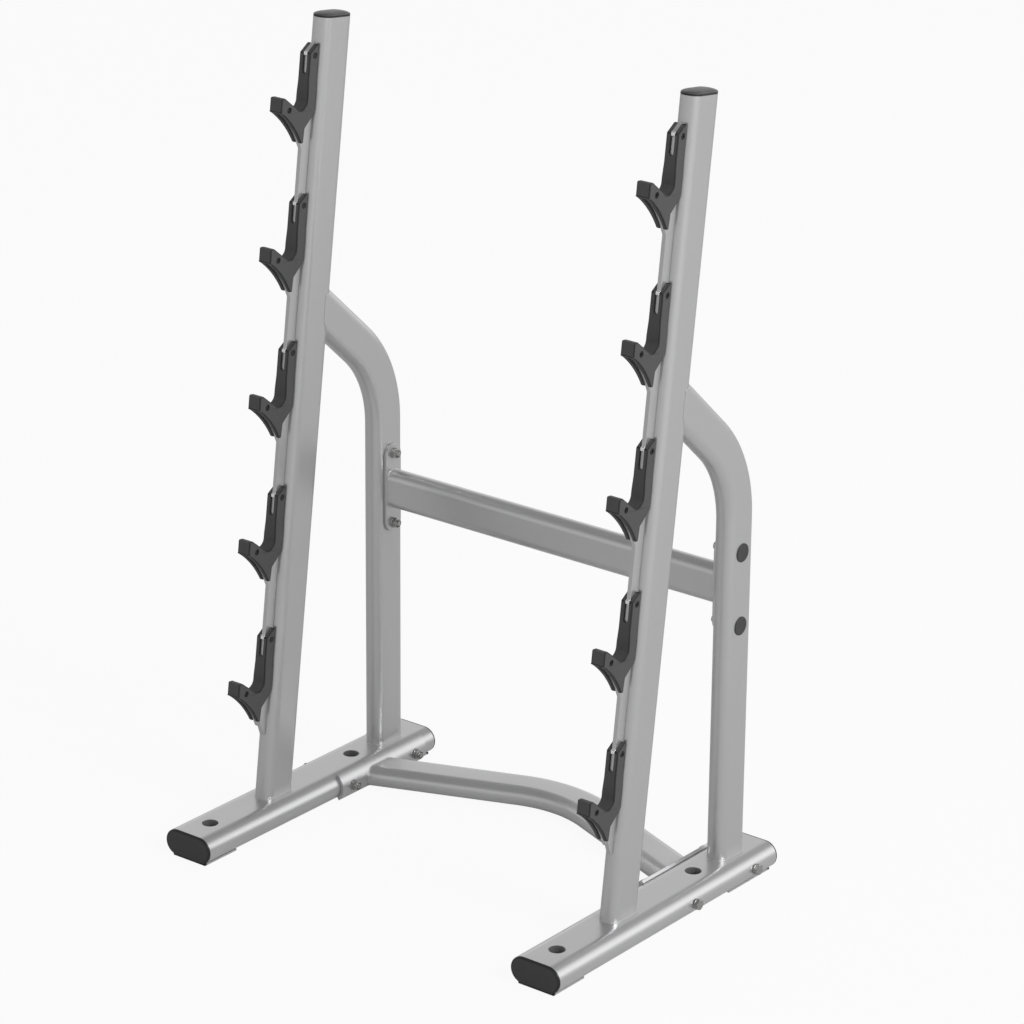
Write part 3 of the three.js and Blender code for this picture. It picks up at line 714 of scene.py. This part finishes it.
def end_tree(tree, given, last, output):
    """Ends a tree: all is made real, and the faces of material 1 get the second finish."""
    real = add_node(tree, "GeometryNodeRealizeInstances")
    index = add_node(tree, "GeometryNodeInputMaterialIndex")
    is_second = add_node(tree, "FunctionNodeCompare", {3: 1}, data_type="INT", operation="EQUAL")
    is_first = add_node(tree, "FunctionNodeBooleanMath", operation="NOT")
    second = add_node(tree, "GeometryNodeSetMaterial")
    first = add_node(tree, "GeometryNodeSetMaterial")
    result = add_node(tree, "NodeGroupOutput")
    wire(
        (last, output, real, "Geometry"),
        (index, "Material Index", is_second, 2),
        (is_second, "Result", is_first, 0),
        (real, "Geometry", second, "Geometry"),
        (is_second, "Result", second, "Selection"),
        (given, "Second finish", second, "Material"),
        (second, "Geometry", first, "Geometry"),
        (is_first, "Boolean", first, "Selection"),
        (given, "Finish", first, "Material"),
        (first, "Geometry", result, "Geometry"),
    )


def run_tree(name, tree, sockets, values, points=(), edges=()):
    """A piece of points and edges on which a tree builds, with the values of its inputs."""
    mesh = bpy.data.meshes.new(name)
    mesh.from_pydata(points, edges, [])
    made = new_object(name, mesh)
    step = made.modifiers.new("tree", "NODES")
    step.node_group = tree
    for label, value in values.items():
        step[sockets[label]] = value
    return made


def hook_pattern():
    """Places one cover, or one pair of screws, at each hook of a leaning upright."""
    inputs = {
        "Cover": ("Object", None),
        "Hooks": ("Int", HOOK_COUNT),
        "Top hook": ("Vector", (0, 0, TOP_HOOK)),
        "Pitch": ("Vector", (0, 0, -HOOK_PITCH)),
        "Upright foot": ("Vector", upright_foot),
        "Lean": ("Rotation", None),
        "Finish": ("Material", None),
        "Second finish": ("Material", None),
    }
    tree, given, sockets = new_tree("hook_pattern", inputs)
    line = add_node(tree, "GeometryNodeMeshLine")
    cover = add_node(tree, "GeometryNodeObjectInfo")
    place = add_node(tree, "GeometryNodeInstanceOnPoints")
    lean = add_node(tree, "GeometryNodeTransform")
    wire(
        (given, "Hooks", line, "Count"),
        (given, "Top hook", line, "Start Location"),
        (given, "Pitch", line, "Offset"),
        (given, "Cover", cover, "Object"),
        (line, "Mesh", place, "Points"),
        (cover, "Geometry", place, "Instance"),
        (place, "Instances", lean, "Geometry"),
        (given, "Upright foot", lean, "Translation"),
        (given, "Lean", lean, "Rotation"),
    )
    end_tree(tree, given, lean, "Geometry")
    return tree, sockets


def hook_row(name, side, node, cover, finishes):
    """One side frame's row of covers or screws, made a plain mesh."""
    values = {
        "Cover": cover,
        "Upright foot": (SIDES[side] * FRAME_X, UPRIGHT_FOOT_Y, FOOT_TOP),
        "Lean": (-LEAN, 0, 0),
        "Finish": finishes[0],
        "Second finish": finishes[1],
    }
    row = run_tree(f"{name}_{side}", *row_tree, values)
    settle(row)
    smooth(row)
    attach(row, "root")
    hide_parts(*[f"{node}_{side}_{index + 1}" for index in range(HOOK_COUNT)])


row_tree = hook_pattern()
for side in SIDES:
    finishes = (saddle_plastic, edge_plastic)
    hook_row("saddles", side, "saddle", saddle, finishes)
bpy.data.objects.remove(saddle)


# Saddle screws: small black socket screws sunk in the cheeks, each with a black nut on the other
# side. They are turned steel with a black oxide finish.
SCREW_HEAD_RADIUS = 0.0046
SCREW_HEAD_HEIGHT = 0.0032
SCREW_EDGE = SCREW_HEAD_HEIGHT / 5
SCREW_RADIUS = 0.0025
SOCKET_RADIUS = 0.0022
SOCKET_DEPTH = 0.0018
BLACK_STEEL = (0.03, 0.03, 0.03, 1)
WORN_BLACK_STEEL = (0.05, 0.05, 0.05, 1)


def socket_screw(reach, height):
    """A screw from one counterbore to the other: a head with a socket, a shank and a low nut."""
    head = SCREW_SEAT + SCREW_HEAD_HEIGHT
    profile = (
        (SCREW_HEAD_RADIUS, -head + SCREW_EDGE),
        (SCREW_HEAD_RADIUS, -SCREW_SEAT),
        (SCREW_RADIUS, -SCREW_SEAT),
        (SCREW_RADIUS, SCREW_SEAT),
        (SCREW_HEAD_RADIUS, SCREW_SEAT),
        (SCREW_HEAD_RADIUS, head - SCREW_EDGE),
        (SCREW_HEAD_RADIUS - SCREW_EDGE, head),
        (SOCKET_RADIUS, head),
        (SOCKET_RADIUS, head - SOCKET_DEPTH),
    )
    screw = lathe("screw", profile, black_steel, sides=18)
    to_hook(screw, reach, height)
    return screw


black_steel = new_material(
    "black_oxide",
    {"Metallic": 0.8, "Roughness": 0.5},
    tint={"cells": 500, "detail": 2, "stops": ((0.3, BLACK_STEEL), (0.7, WORN_BLACK_STEEL))},
)
for side, way in SIDES.items():
    screws = joined("screws", [socket_screw(*UPPER_SCREW), socket_screw(*LOWER_SCREW)])
    if way < 0:
        turn_over(screws)
    hook_row("saddle_screws", side, "saddle_screw", screws, [black_steel] * 2)
    bpy.data.objects.remove(screws)


# Upper cross bar: the same kind of tube between the rear posts, welded to a plate at each end. The
# plates have round ends and are bolted to the posts. The face of the bar is left bare.
CROSSBAR_HEIGHT = 0.072
CROSSBAR_CENTRE = 0.548
CROSSBAR_PLATE_LENGTH = 0.166
CROSSBAR_PLATE_WIDTH = 0.040
CROSSBAR_BOLT_SPAN = 0.133
PLATE_THICKNESS = 0.0064
PLATE_EDGE = 0.0009
post_face = FRAME_X - TUBE_WIDTH / 2 - FIT
bar_reach = post_face - PLATE_THICKNESS
bar_outline = flat_oval(TUBE_WIDTH, CROSSBAR_HEIGHT)


def across_x(outline, x):
    """A ring of an outline that runs along the cross bar."""
    return [(x, POST_Y + u, CROSSBAR_CENTRE + v) for u, v in outline]


bar_rings = [across_x(bar_outline, way * bar_reach) for way in (-1, 1)]
crossbar = loft("upper_crossbar_tube", bar_rings, paint)
smooth(crossbar)
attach(crossbar, "root")
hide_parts("upper_crossbar")

plate_outline = flat_oval(CROSSBAR_PLATE_WIDTH, CROSSBAR_PLATE_LENGTH)
plate_rings = [across_x(plate_outline, x - FRAME_X) for x in (post_face, bar_reach)]
bar_plate = loft("plate", plate_rings, paint)
soften(bar_plate, PLATE_EDGE)
side_pieces(bar_plate, "round_ended_plate", "crossbar_plate", mirrored=True)


# Lower brace: the tube laid flat and bowed to the rear, welded to two plates that are rolled to
# the round inner sides of the feet and bolted through them.
BRACE_HEIGHT = 0.025
BRACE_MEET_Y = 0.1485
BRACE_SWEEP = math.radians(21.4)
BRACE_BEND_RADIUS = 0.226
BRACE_BEND_STEPS = 28
BRACE_PLATE_Y = 0.158
BRACE_PLATE_LENGTH = 0.234
BRACE_PLATE_RISE = math.radians(58)
BRACE_PLATE_FALL = math.radians(52)
BRACE_PLATE_STEPS = 16
BRACE_BOLT_SPAN = 0.175
foot_round = FOOT_HEIGHT / 2
foot_round_x = FRAME_X - FOOT_WIDTH / 2 + foot_round
cope_radius = foot_round + FIT + PLATE_THICKNESS
brace_slope = math.tan(BRACE_SWEEP)
brace_bend_x = BRACE_BEND_RADIUS * math.sin(BRACE_SWEEP)
brace_bend_y = BRACE_MEET_Y + (FRAME_X - FOOT_WIDTH / 2 - brace_bend_x) * brace_slope
brace_outline = flat_oval(TUBE_DEPTH, TUBE_WIDTH)


def brace_ring(turn, end=0):
    """A ring of the brace at a turn of its bend. With an end it runs on to that side's plate."""
    forward = Vector((math.cos(turn), -math.sin(turn), 0))
    outward = Vector((math.sin(turn), math.cos(turn), 0))
    y = brace_bend_y + BRACE_BEND_RADIUS * (math.cos(turn) - math.cos(BRACE_SWEEP))
    centre = Vector((BRACE_BEND_RADIUS * math.sin(turn), y, BRACE_HEIGHT))
    ring = []
    for u, v in brace_outline:
        point = centre + u * outward + Vector((0, 0, v))
        if end:
            drop = point.z - FOOT_MIDDLE
            meet_x = end * (foot_round_x - math.sqrt(cope_radius**2 - drop**2))
            point += forward * (meet_x - point.x) / forward.x
        ring.append(point)
    return ring


brace_rings = [brace_ring(-BRACE_SWEEP, -1)]
for i in range(BRACE_BEND_STEPS + 1):
    brace_rings.append(brace_ring(BRACE_SWEEP * (2 * i / BRACE_BEND_STEPS - 1)))
brace_rings.append(brace_ring(BRACE_SWEEP, 1))
brace = loft("lower_brace_tube", brace_rings, paint)
smooth(brace)
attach(brace, "root")
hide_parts("lower_brace")

plate_turns = (math.pi - BRACE_PLATE_RISE, math.pi + BRACE_PLATE_FALL)
plate_arc = arc((0, 0), cope_radius, *plate_turns, BRACE_PLATE_STEPS)
plate_arc += arc((0, 0), foot_round + FIT, *reversed(plate_turns), BRACE_PLATE_STEPS)
plate_rings = []
for way in (-1, 1):
    y = BRACE_PLATE_Y + way * BRACE_PLATE_LENGTH / 2
    plate_rings.append([(foot_round_x - FRAME_X + u, y, FOOT_MIDDLE + v) for u, v in plate_arc])
rolled_plate = loft("plate", plate_rings, paint)
soften(rolled_plate, PLATE_EDGE)
side_pieces(rolled_plate, "rolled_plate", "brace_plate", mirrored=True)


# Weld beads: where tubes and plates meet they are joined by a small rippled bead, painted over
# with the steelwork. Each bead follows the cut end of the tube that it joins.
BEAD_RADIUS = 0.0012
BEAD_SIDES = 8
RIPPLE_PITCH = 0.0026
RIPPLE_DEPTH = 0.12
BEAD_STEP = RIPPLE_PITCH / 4


def bead_tree():
    """Sweeps a round bead along edges and swells it at each ripple."""
    inputs = {
        "Path": ("Geometry", None),
        "Bead radius": ("Float", BEAD_RADIUS),
        "Ripple pitch": ("Float", RIPPLE_PITCH),
        "Ripple depth": ("Float", RIPPLE_DEPTH),
        "Step": ("Float", BEAD_STEP),
        "Finish": ("Material", paint),
    }
    tree, given, sockets = new_tree("weld_bead", inputs)
    path = add_node(tree, "GeometryNodeMeshToCurve")
    resample = add_node(tree, "GeometryNodeResampleCurve", mode="LENGTH")
    along = add_node(tree, "GeometryNodeSplineParameter")
    phase = add_node(tree, "ShaderNodeMath", operation="DIVIDE")
    turn = add_node(tree, "ShaderNodeMath", {1: 2 * math.pi}, operation="MULTIPLY")
    wave = add_node(tree, "ShaderNodeMath", operation="SINE")
    swell = add_node(tree, "ShaderNodeMath", {2: 1}, operation="MULTIPLY_ADD")
    section = add_node(tree, "GeometryNodeCurvePrimitiveCircle", {"Resolution": BEAD_SIDES})
    sweep = add_node(tree, "GeometryNodeCurveToMesh", {"Fill Caps": True})
    real = add_node(tree, "GeometryNodeRealizeInstances")
    finish = add_node(tree, "GeometryNodeSetMaterial")
    result = add_node(tree, "NodeGroupOutput")
    wire(
        (given, "Path", path, "Mesh"),
        (path, "Curve", resample, "Curve"),
        (given, "Step", resample, "Length"),
        (along, "Length", phase, 0),
        (given, "Ripple pitch", phase, 1),
        (phase, 0, turn, 0),
        (turn, 0, wave, 0),
        (wave, 0, swell, 0),
        (given, "Ripple depth", swell, 1),
        (given, "Bead radius", section, "Radius"),
        (resample, "Curve", sweep, "Curve"),
        (section, "Curve", sweep, "Profile Curve"),
        (swell, 0, sweep, "Scale"),
        (sweep, "Mesh", real, "Geometry"),
        (real, "Geometry", finish, "Geometry"),
        (given, "Finish", finish, "Material"),
        (finish, "Geometry", result, "Geometry"),
    )
    return tree, sockets


bead_paths = []
for way in SIDES.values():
    aside = Vector((way * FRAME_X, 0, 0))
    bead_paths.append([lean_back @ Vector(point) + aside for point in upright_foot_ring])
    bead_paths += [[point + aside for point in ring] for ring in (post_rings[0], post_rings[-1])]
    bead_paths.append(across_x(bar_outline, way * bar_reach))
    bead_paths.append(brace_rings[0] if way < 0 else brace_rings[-1])
bead_points, bead_edges = [], []
for path in bead_paths:
    first = len(bead_points)
    bead_points += path
    bead_edges += [(first + i, first + (i + 1) % len(path)) for i in range(len(path))]
beads = run_tree("weld_beads", *bead_tree(), {}, bead_points, bead_edges)
settle(beads)
smooth(beads, 180)
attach(beads, "root")


# Plugs: round black plastic discs that close the holes in the outer sides of the rear posts, over
# the heads of the cross bar's bolts. The rim is rounded and the middle slightly dished.
LEVELS = {"upper": 1, "lower": -1}
PLUG_RADIUS = 0.0165
PLUG_THICKNESS = 0.0019
PLUG_BARREL = 0.0145
PLUG_DEPTH = 0.0025
PLUG_SHARES = ((1, 0), (1, 0.45), (0.975, 0.8), (0.92, 1), (0.78, 1), (0.72, 0.82), (0.3, 0.74))
plug_seat = TUBE_WIDTH / 2
plug_profile = [(PLUG_BARREL, plug_seat - PLUG_DEPTH), (PLUG_BARREL, plug_seat)]
for radius_share, height_share in PLUG_SHARES:
    height = plug_seat + PLUG_THICKNESS * height_share
    plug_profile.append((PLUG_RADIUS * radius_share, height))
for level, way in LEVELS.items():
    plug = lathe("plug", plug_profile, cap_plastic, sides=48)
    height = CROSSBAR_CENTRE + way * CROSSBAR_BOLT_SPAN / 2
    plug.data.transform(Matrix.Translation((0, POST_Y, height)))
    side_pieces(plug, f"plug_{level}", f"post_plug_{level}", mirrored=True)


# Bolts, washers and nuts: zinc plated M10 steel. The brace's bolts show their hex heads on the
# outer sides of the feet; inside, each bolt ends in a washer and a lock nut with a dark nylon ring
# round the thread.
BOLT_RADIUS = 0.005
HEX_ACROSS = 0.017
HEX_HEAD = 0.0064
HEX_NUT = 0.0066
HEX_STEPS = 36
HEX_FACE_RADIUS = 0.95 * HEX_ACROSS / 2
HEX_CHAMFER_SLOPE = 0.55
HEX_SPREAD = math.radians(3)
COLLAR_HEIGHT = 0.0028
COLLAR_RADIUS = 0.0074
COLLAR_SHARES = ((1, 0), (1, 0.5), (0.94, 0.85), (0.86, 1))
NYLON_RADIUS = 0.85 * COLLAR_RADIUS
NYLON_HEIGHT = 1.03 * COLLAR_HEIGHT
NYLON_BORE = 0.0045
WASHER_RADIUS = 0.010
WASHER_THICKNESS = 0.002
WASHER_EDGE = 0.0004
THREAD_PITCH = 0.0015
THREAD_DEPTH = 0.0008
THREAD_LENGTH = 0.026
THREAD_SHOWN = 0.003
NUT_HEIGHT = 0.008
ZINC_DARK = (0.34, 0.34, 0.335, 1)
ZINC_LIGHT = (0.5, 0.5, 0.49, 1)
NYLON = (0.03, 0.03, 0.032, 1)


def hex_ring(x, radius, slope=0.0):
    """A ring of a hexagon, or a round one inside its flats. A slope sinks it to the corners."""
    ring = []
    for i in range(HEX_STEPS):
        turn = 2 * math.pi * i / HEX_STEPS
        from_flat = (turn + math.pi / 6) % (math.pi / 3) - math.pi / 6
        reach = min(HEX_ACROSS / 2 / math.cos(from_flat), radius)
        sunk = slope * (reach - HEX_FACE_RADIUS)
        ring.append((x - max(sunk, 0), reach * math.cos(turn), reach * math.sin(turn)))
    return ring


def hexagon(name, start, height):
    """A hexagon along X, chamfered all round at its far end."""
    far = start + height
    rings = [hex_ring(start, HEX_ACROSS), hex_ring(far, HEX_ACROSS, HEX_CHAMFER_SLOPE)]
    return loft(name, rings + [hex_ring(far, HEX_FACE_RADIUS)], zinc)


def washer(start):
    """A washer with rounded edges, its seat at start."""
    end = start + WASHER_THICKNESS
    profile = (
        (WASHER_RADIUS - WASHER_EDGE, start),
        (WASHER_RADIUS, start + WASHER_EDGE),
        (WASHER_RADIUS, end - WASHER_EDGE),
        (WASHER_RADIUS - WASHER_EDGE, end),
    )
    return lathe("washer", profile, zinc, sides=40)


def hex_bolt(name, length, under_head):
    """A bolt along X, its head to +X over what lies under it, and its threaded tip at -length."""
    head_start = WASHER_THICKNESS * len(under_head)
    profile = [(BOLT_RADIUS, head_start), (BOLT_RADIUS, THREAD_LENGTH - length)]
    for turn in range(int((THREAD_LENGTH - THREAD_DEPTH) / THREAD_PITCH)):
        crest = THREAD_LENGTH - length - turn * THREAD_PITCH
        profile.append((BOLT_RADIUS - THREAD_DEPTH, crest - THREAD_PITCH / 2))
        profile.append((BOLT_RADIUS, crest - THREAD_PITCH))
    profile.append((BOLT_RADIUS - THREAD_DEPTH, THREAD_DEPTH / 2 - length))
    profile.append((BOLT_RADIUS - 2 * THREAD_DEPTH, -length))
    shank = lathe("shank", profile, zinc, sides=24)
    return joined(name, under_head + [hexagon("head", head_start, HEX_HEAD), shank])


def fastener_pattern():
    """Sets one fastener at each point, turned by the point's own angles."""
    inputs = {
        "Places": ("Geometry", None),
        "Fastener": ("Object", None),
        "Finish": ("Material", None),
        "Second finish": ("Material", None),
    }
    tree, given, sockets = new_tree("fasteners", inputs)
    source = add_node(tree, "GeometryNodeObjectInfo")
    turn = add_node(
        tree, "GeometryNodeInputNamedAttribute", {"Name": "turn"}, data_type="FLOAT_VECTOR"
    )
    turned = add_node(tree, "FunctionNodeEulerToRotation")
    place = add_node(tree, "GeometryNodeInstanceOnPoints")
    wire(
        (given, "Places", place, "Points"),
        (given, "Fastener", source, "Object"),
        (source, "Geometry", place, "Instance"),
        (turn, "Attribute", turned, "Euler"),
        (turned, "Rotation", place, "Rotation"),
    )
    end_tree(tree, given, place, "Instances")
    return tree, sockets


def fasteners(name, model, places):
    """One object with a fastener for each node, at (x, y, z, way). Way is 1 towards +X."""
    values = {"Fastener": model, "Finish": zinc, "Second finish": nylon}
    points = [place[:3] for place in places.values()]
    row = run_tree(name, *fastener_tree, values, points)
    turns = row.data.attributes.new("turn", "FLOAT_VECTOR", "POINT")
    for i, place in enumerate(places.values()):
        turns.data[i].vector = (HEX_SPREAD * i, 0, 0 if place[3] > 0 else math.pi)
    settle(row)
    bpy.data.objects.remove(model)
    smooth(row, 32)
    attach(row, "root")
    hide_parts(*places)


zinc = bare_or_highlight_metal("zinc_plate", ZINC_DARK, ZINC_LIGHT)
nylon = polished_plastic("lock_ring", NYLON, roughness=0.5)
fastener_tree = fastener_pattern()
nut_end = WASHER_THICKNESS + HEX_NUT
collar_profile = []
for radius_share, height_share in COLLAR_SHARES:
    collar_profile.append((COLLAR_RADIUS * radius_share, nut_end + COLLAR_HEIGHT * height_share))
ring_profile = (
    (NYLON_RADIUS, nut_end + COLLAR_HEIGHT / 2),
    (NYLON_RADIUS, nut_end + NYLON_HEIGHT),
    (NYLON_BORE, nut_end + NYLON_HEIGHT),
)
nut = hexagon("nut", WASHER_THICKNESS, HEX_NUT)
collar = lathe("collar", collar_profile, zinc)
lock_nut = joined("lock_nut", [washer(0), nut, collar, lathe("ring", ring_profile, nylon)])
brace_seat = foot_round_x - cope_radius
post_wall = FRAME_X - TUBE_WIDTH / 2 + FOOT_WALL + FIT
foot_face = FRAME_X + FOOT_WIDTH / 2 + FIT
past_seat = WASHER_THICKNESS + NUT_HEIGHT + THREAD_SHOWN
nuts, bar_bolts, brace_bolts = {}, {}, {}
for side, way in SIDES.items():
    for level, up in LEVELS.items():
        z = CROSSBAR_CENTRE + up * CROSSBAR_BOLT_SPAN / 2
        nuts[f"crossbar_nut_{level}_{side}"] = (way * bar_reach, POST_Y, z, -way)
        bar_bolts[f"crossbar_bolt_{level}_{side}"] = (way * post_wall, POST_Y, z, way)
    for place, back in ENDS.items():
        y = BRACE_PLATE_Y + back * BRACE_BOLT_SPAN / 2
        nuts[f"brace_nut_{place}_{side}"] = (way * brace_seat, y, FOOT_MIDDLE, -way)
        brace_bolts[f"brace_bolt_{place}_{side}"] = (way * foot_face, y, FOOT_MIDDLE, way)
fasteners("joint_nuts", lock_nut, nuts)
fasteners("crossbar_bolts", hex_bolt("bar_bolt", post_wall - bar_reach + past_seat, []), bar_bolts)
brace_bolt = hex_bolt("brace_bolt", foot_face - brace_seat + past_seat, [washer(0)])
fasteners("brace_bolts", brace_bolt, brace_bolts)


# Studio: a plain pale floor that keeps a faint shadow, a pale surround and two soft lamps. Seen
# directly, the floor and the surround are white; the steel mirrors them darker.
FLOOR_REACH = 15
FLOOR_COLOUR = (0.68, 0.68, 0.68, 1)
FLOOR_GLOW_SEEN = 0.93
FLOOR_GLOW_MIRRORED = 0.1
FRONT_LEVEL = 0.66
SURROUND_LEVELS = ((0.0, 1.06), (0.4, 1.06), (0.62, 0.4), (1.0, 0.4))
WHITE = (1, 1, 1, 1)
RACK_MIDDLE = (0, 0, 0.7)
RIGHT_LAMP = {"place": (7.6, -0.5, 5.2), "size": 4, "power": 400}
REAR_LAMP = {"place": (5.6, 6.2, 3.7), "size": 5.5, "power": 60}


def studio_floor():
    """A matt floor that glows to the camera and, faintly, to what mirrors it."""
    material = bpy.data.materials.new("studio_floor")
    material.use_nodes = True
    tree = material.node_tree
    tree.nodes.clear()
    output = add_node(tree, "ShaderNodeOutputMaterial")
    path = add_node(tree, "ShaderNodeLightPath")
    matt = add_node(tree, "ShaderNodeBsdfDiffuse", {"Color": FLOOR_COLOUR})
    glow = add_node(tree, "ShaderNodeEmission")
    mixed = add_node(tree, "ShaderNodeMixShader")
    mirrored = add_node(tree, "ShaderNodeMath", operation="MAXIMUM")
    faint = add_node(tree, "ShaderNodeMath", {1: FLOOR_GLOW_MIRRORED}, operation="MULTIPLY")
    share = add_node(tree, "ShaderNodeMath", {1: FLOOR_GLOW_SEEN}, operation="MULTIPLY_ADD")
    wire(
        (path, "Is Glossy Ray", mirrored, 0),
        (path, "Is Transmission Ray", mirrored, 1),
        (mirrored, 0, faint, 0),
        (path, "Is Camera Ray", share, 0),
        (faint, 0, share, 2),
        (share, 0, mixed, "Fac"),
        (matt, 0, mixed, 1),
        (glow, 0, mixed, 2),
        (mixed, 0, output, "Surface"),
    )
    return material


def studio_world():
    """White to the camera; to the object a soft surround, brighter low down and behind it."""
    world = bpy.data.worlds.new("studio_world")
    world.use_nodes = True
    tree = world.node_tree
    tree.nodes.clear()
    output = add_node(tree, "ShaderNodeOutputWorld")
    path = add_node(tree, "ShaderNodeLightPath")
    coordinates = add_node(tree, "ShaderNodeTexCoord")
    split = add_node(tree, "ShaderNodeSeparateXYZ")
    ramp = add_node(tree, "ShaderNodeValToRGB")
    stops = ramp.color_ramp.elements
    for i, (position, level) in enumerate(SURROUND_LEVELS):
        stop = stops[i] if i < len(stops) else stops.new(position)
        stop.position = position
        stop.color = (level, level, level, 1)
    depth = add_node(tree, "ShaderNodeMapRange", {"From Min": -1, "To Min": FRONT_LEVEL})
    surround = add_node(tree, "ShaderNodeBackground")
    white = add_node(tree, "ShaderNodeBackground", {"Color": WHITE})
    mixed = add_node(tree, "ShaderNodeMixShader")
    wire(
        (coordinates, "Generated", split, "Vector"),
        (split, "Z", ramp, "Fac"),
        (ramp, "Color", surround, "Color"),
        (split, "Y", depth, "Value"),
        (depth, "Result", surround, "Strength"),
        (path, "Is Camera Ray", mixed, "Fac"),
        (surround, 0, mixed, 1),
        (white, 0, mixed, 2),
        (mixed, 0, output, "Surface"),
    )
    return world


def softbox(name, place, size, power):
    """A square lamp that points at the middle of the rack."""
    lamp = bpy.data.lights.new(name, "AREA")
    lamp.shape = "SQUARE"
    lamp.size = size
    lamp.energy = power
    holder = new_object(name, lamp)
    holder.location = place
    aim = Vector(RACK_MIDDLE) - Vector(place)
    holder.rotation_euler = aim.to_track_quat("-Z", "Y").to_euler()


floor_corners = [(-1, -1), (1, -1), (1, 1), (-1, 1)]
floor_points = [(x * FLOOR_REACH, y * FLOOR_REACH, 0) for x, y in floor_corners]
floor = mesh_piece("floor", floor_points, [(0, 1, 2, 3)], studio_floor())
bpy.context.scene.world = studio_world()
softbox("right_lamp", **RIGHT_LAMP)
softbox("rear_lamp", **REAR_LAMP)


# Camera at the photograph's viewing angle, without shift. It looks at the rack from the front
# right and from above, with a long lens.
CAMERA_PLACE = (4.1744, -5.2083, 3.2276)
CAMERA_AZIMUTH = math.radians(38.138)
CAMERA_ELEVATION = math.radians(21.074)
CAMERA_ROLL = math.radians(0.488)
CAMERA_LENS = 148.69
CAMERA_SENSOR = 36
CAMERA_SIGHT = 100
camera_data = bpy.data.cameras.new("camera")
camera_data.sensor_width = CAMERA_SENSOR
camera_data.lens = CAMERA_LENS
camera_data.clip_end = CAMERA_SIGHT
camera = new_object("camera", camera_data)
heading = Matrix.Rotation(CAMERA_AZIMUTH, 4, "Z")
pitch = Matrix.Rotation(math.pi / 2 - CAMERA_ELEVATION, 4, "X")
roll = Matrix.Rotation(CAMERA_ROLL, 4, "Z")
camera.matrix_world = Matrix.Translation(CAMERA_PLACE) @ heading @ pitch @ roll
bpy.context.scene.camera = camera
bpy.context.scene.view_settings.view_transform = "Standard"
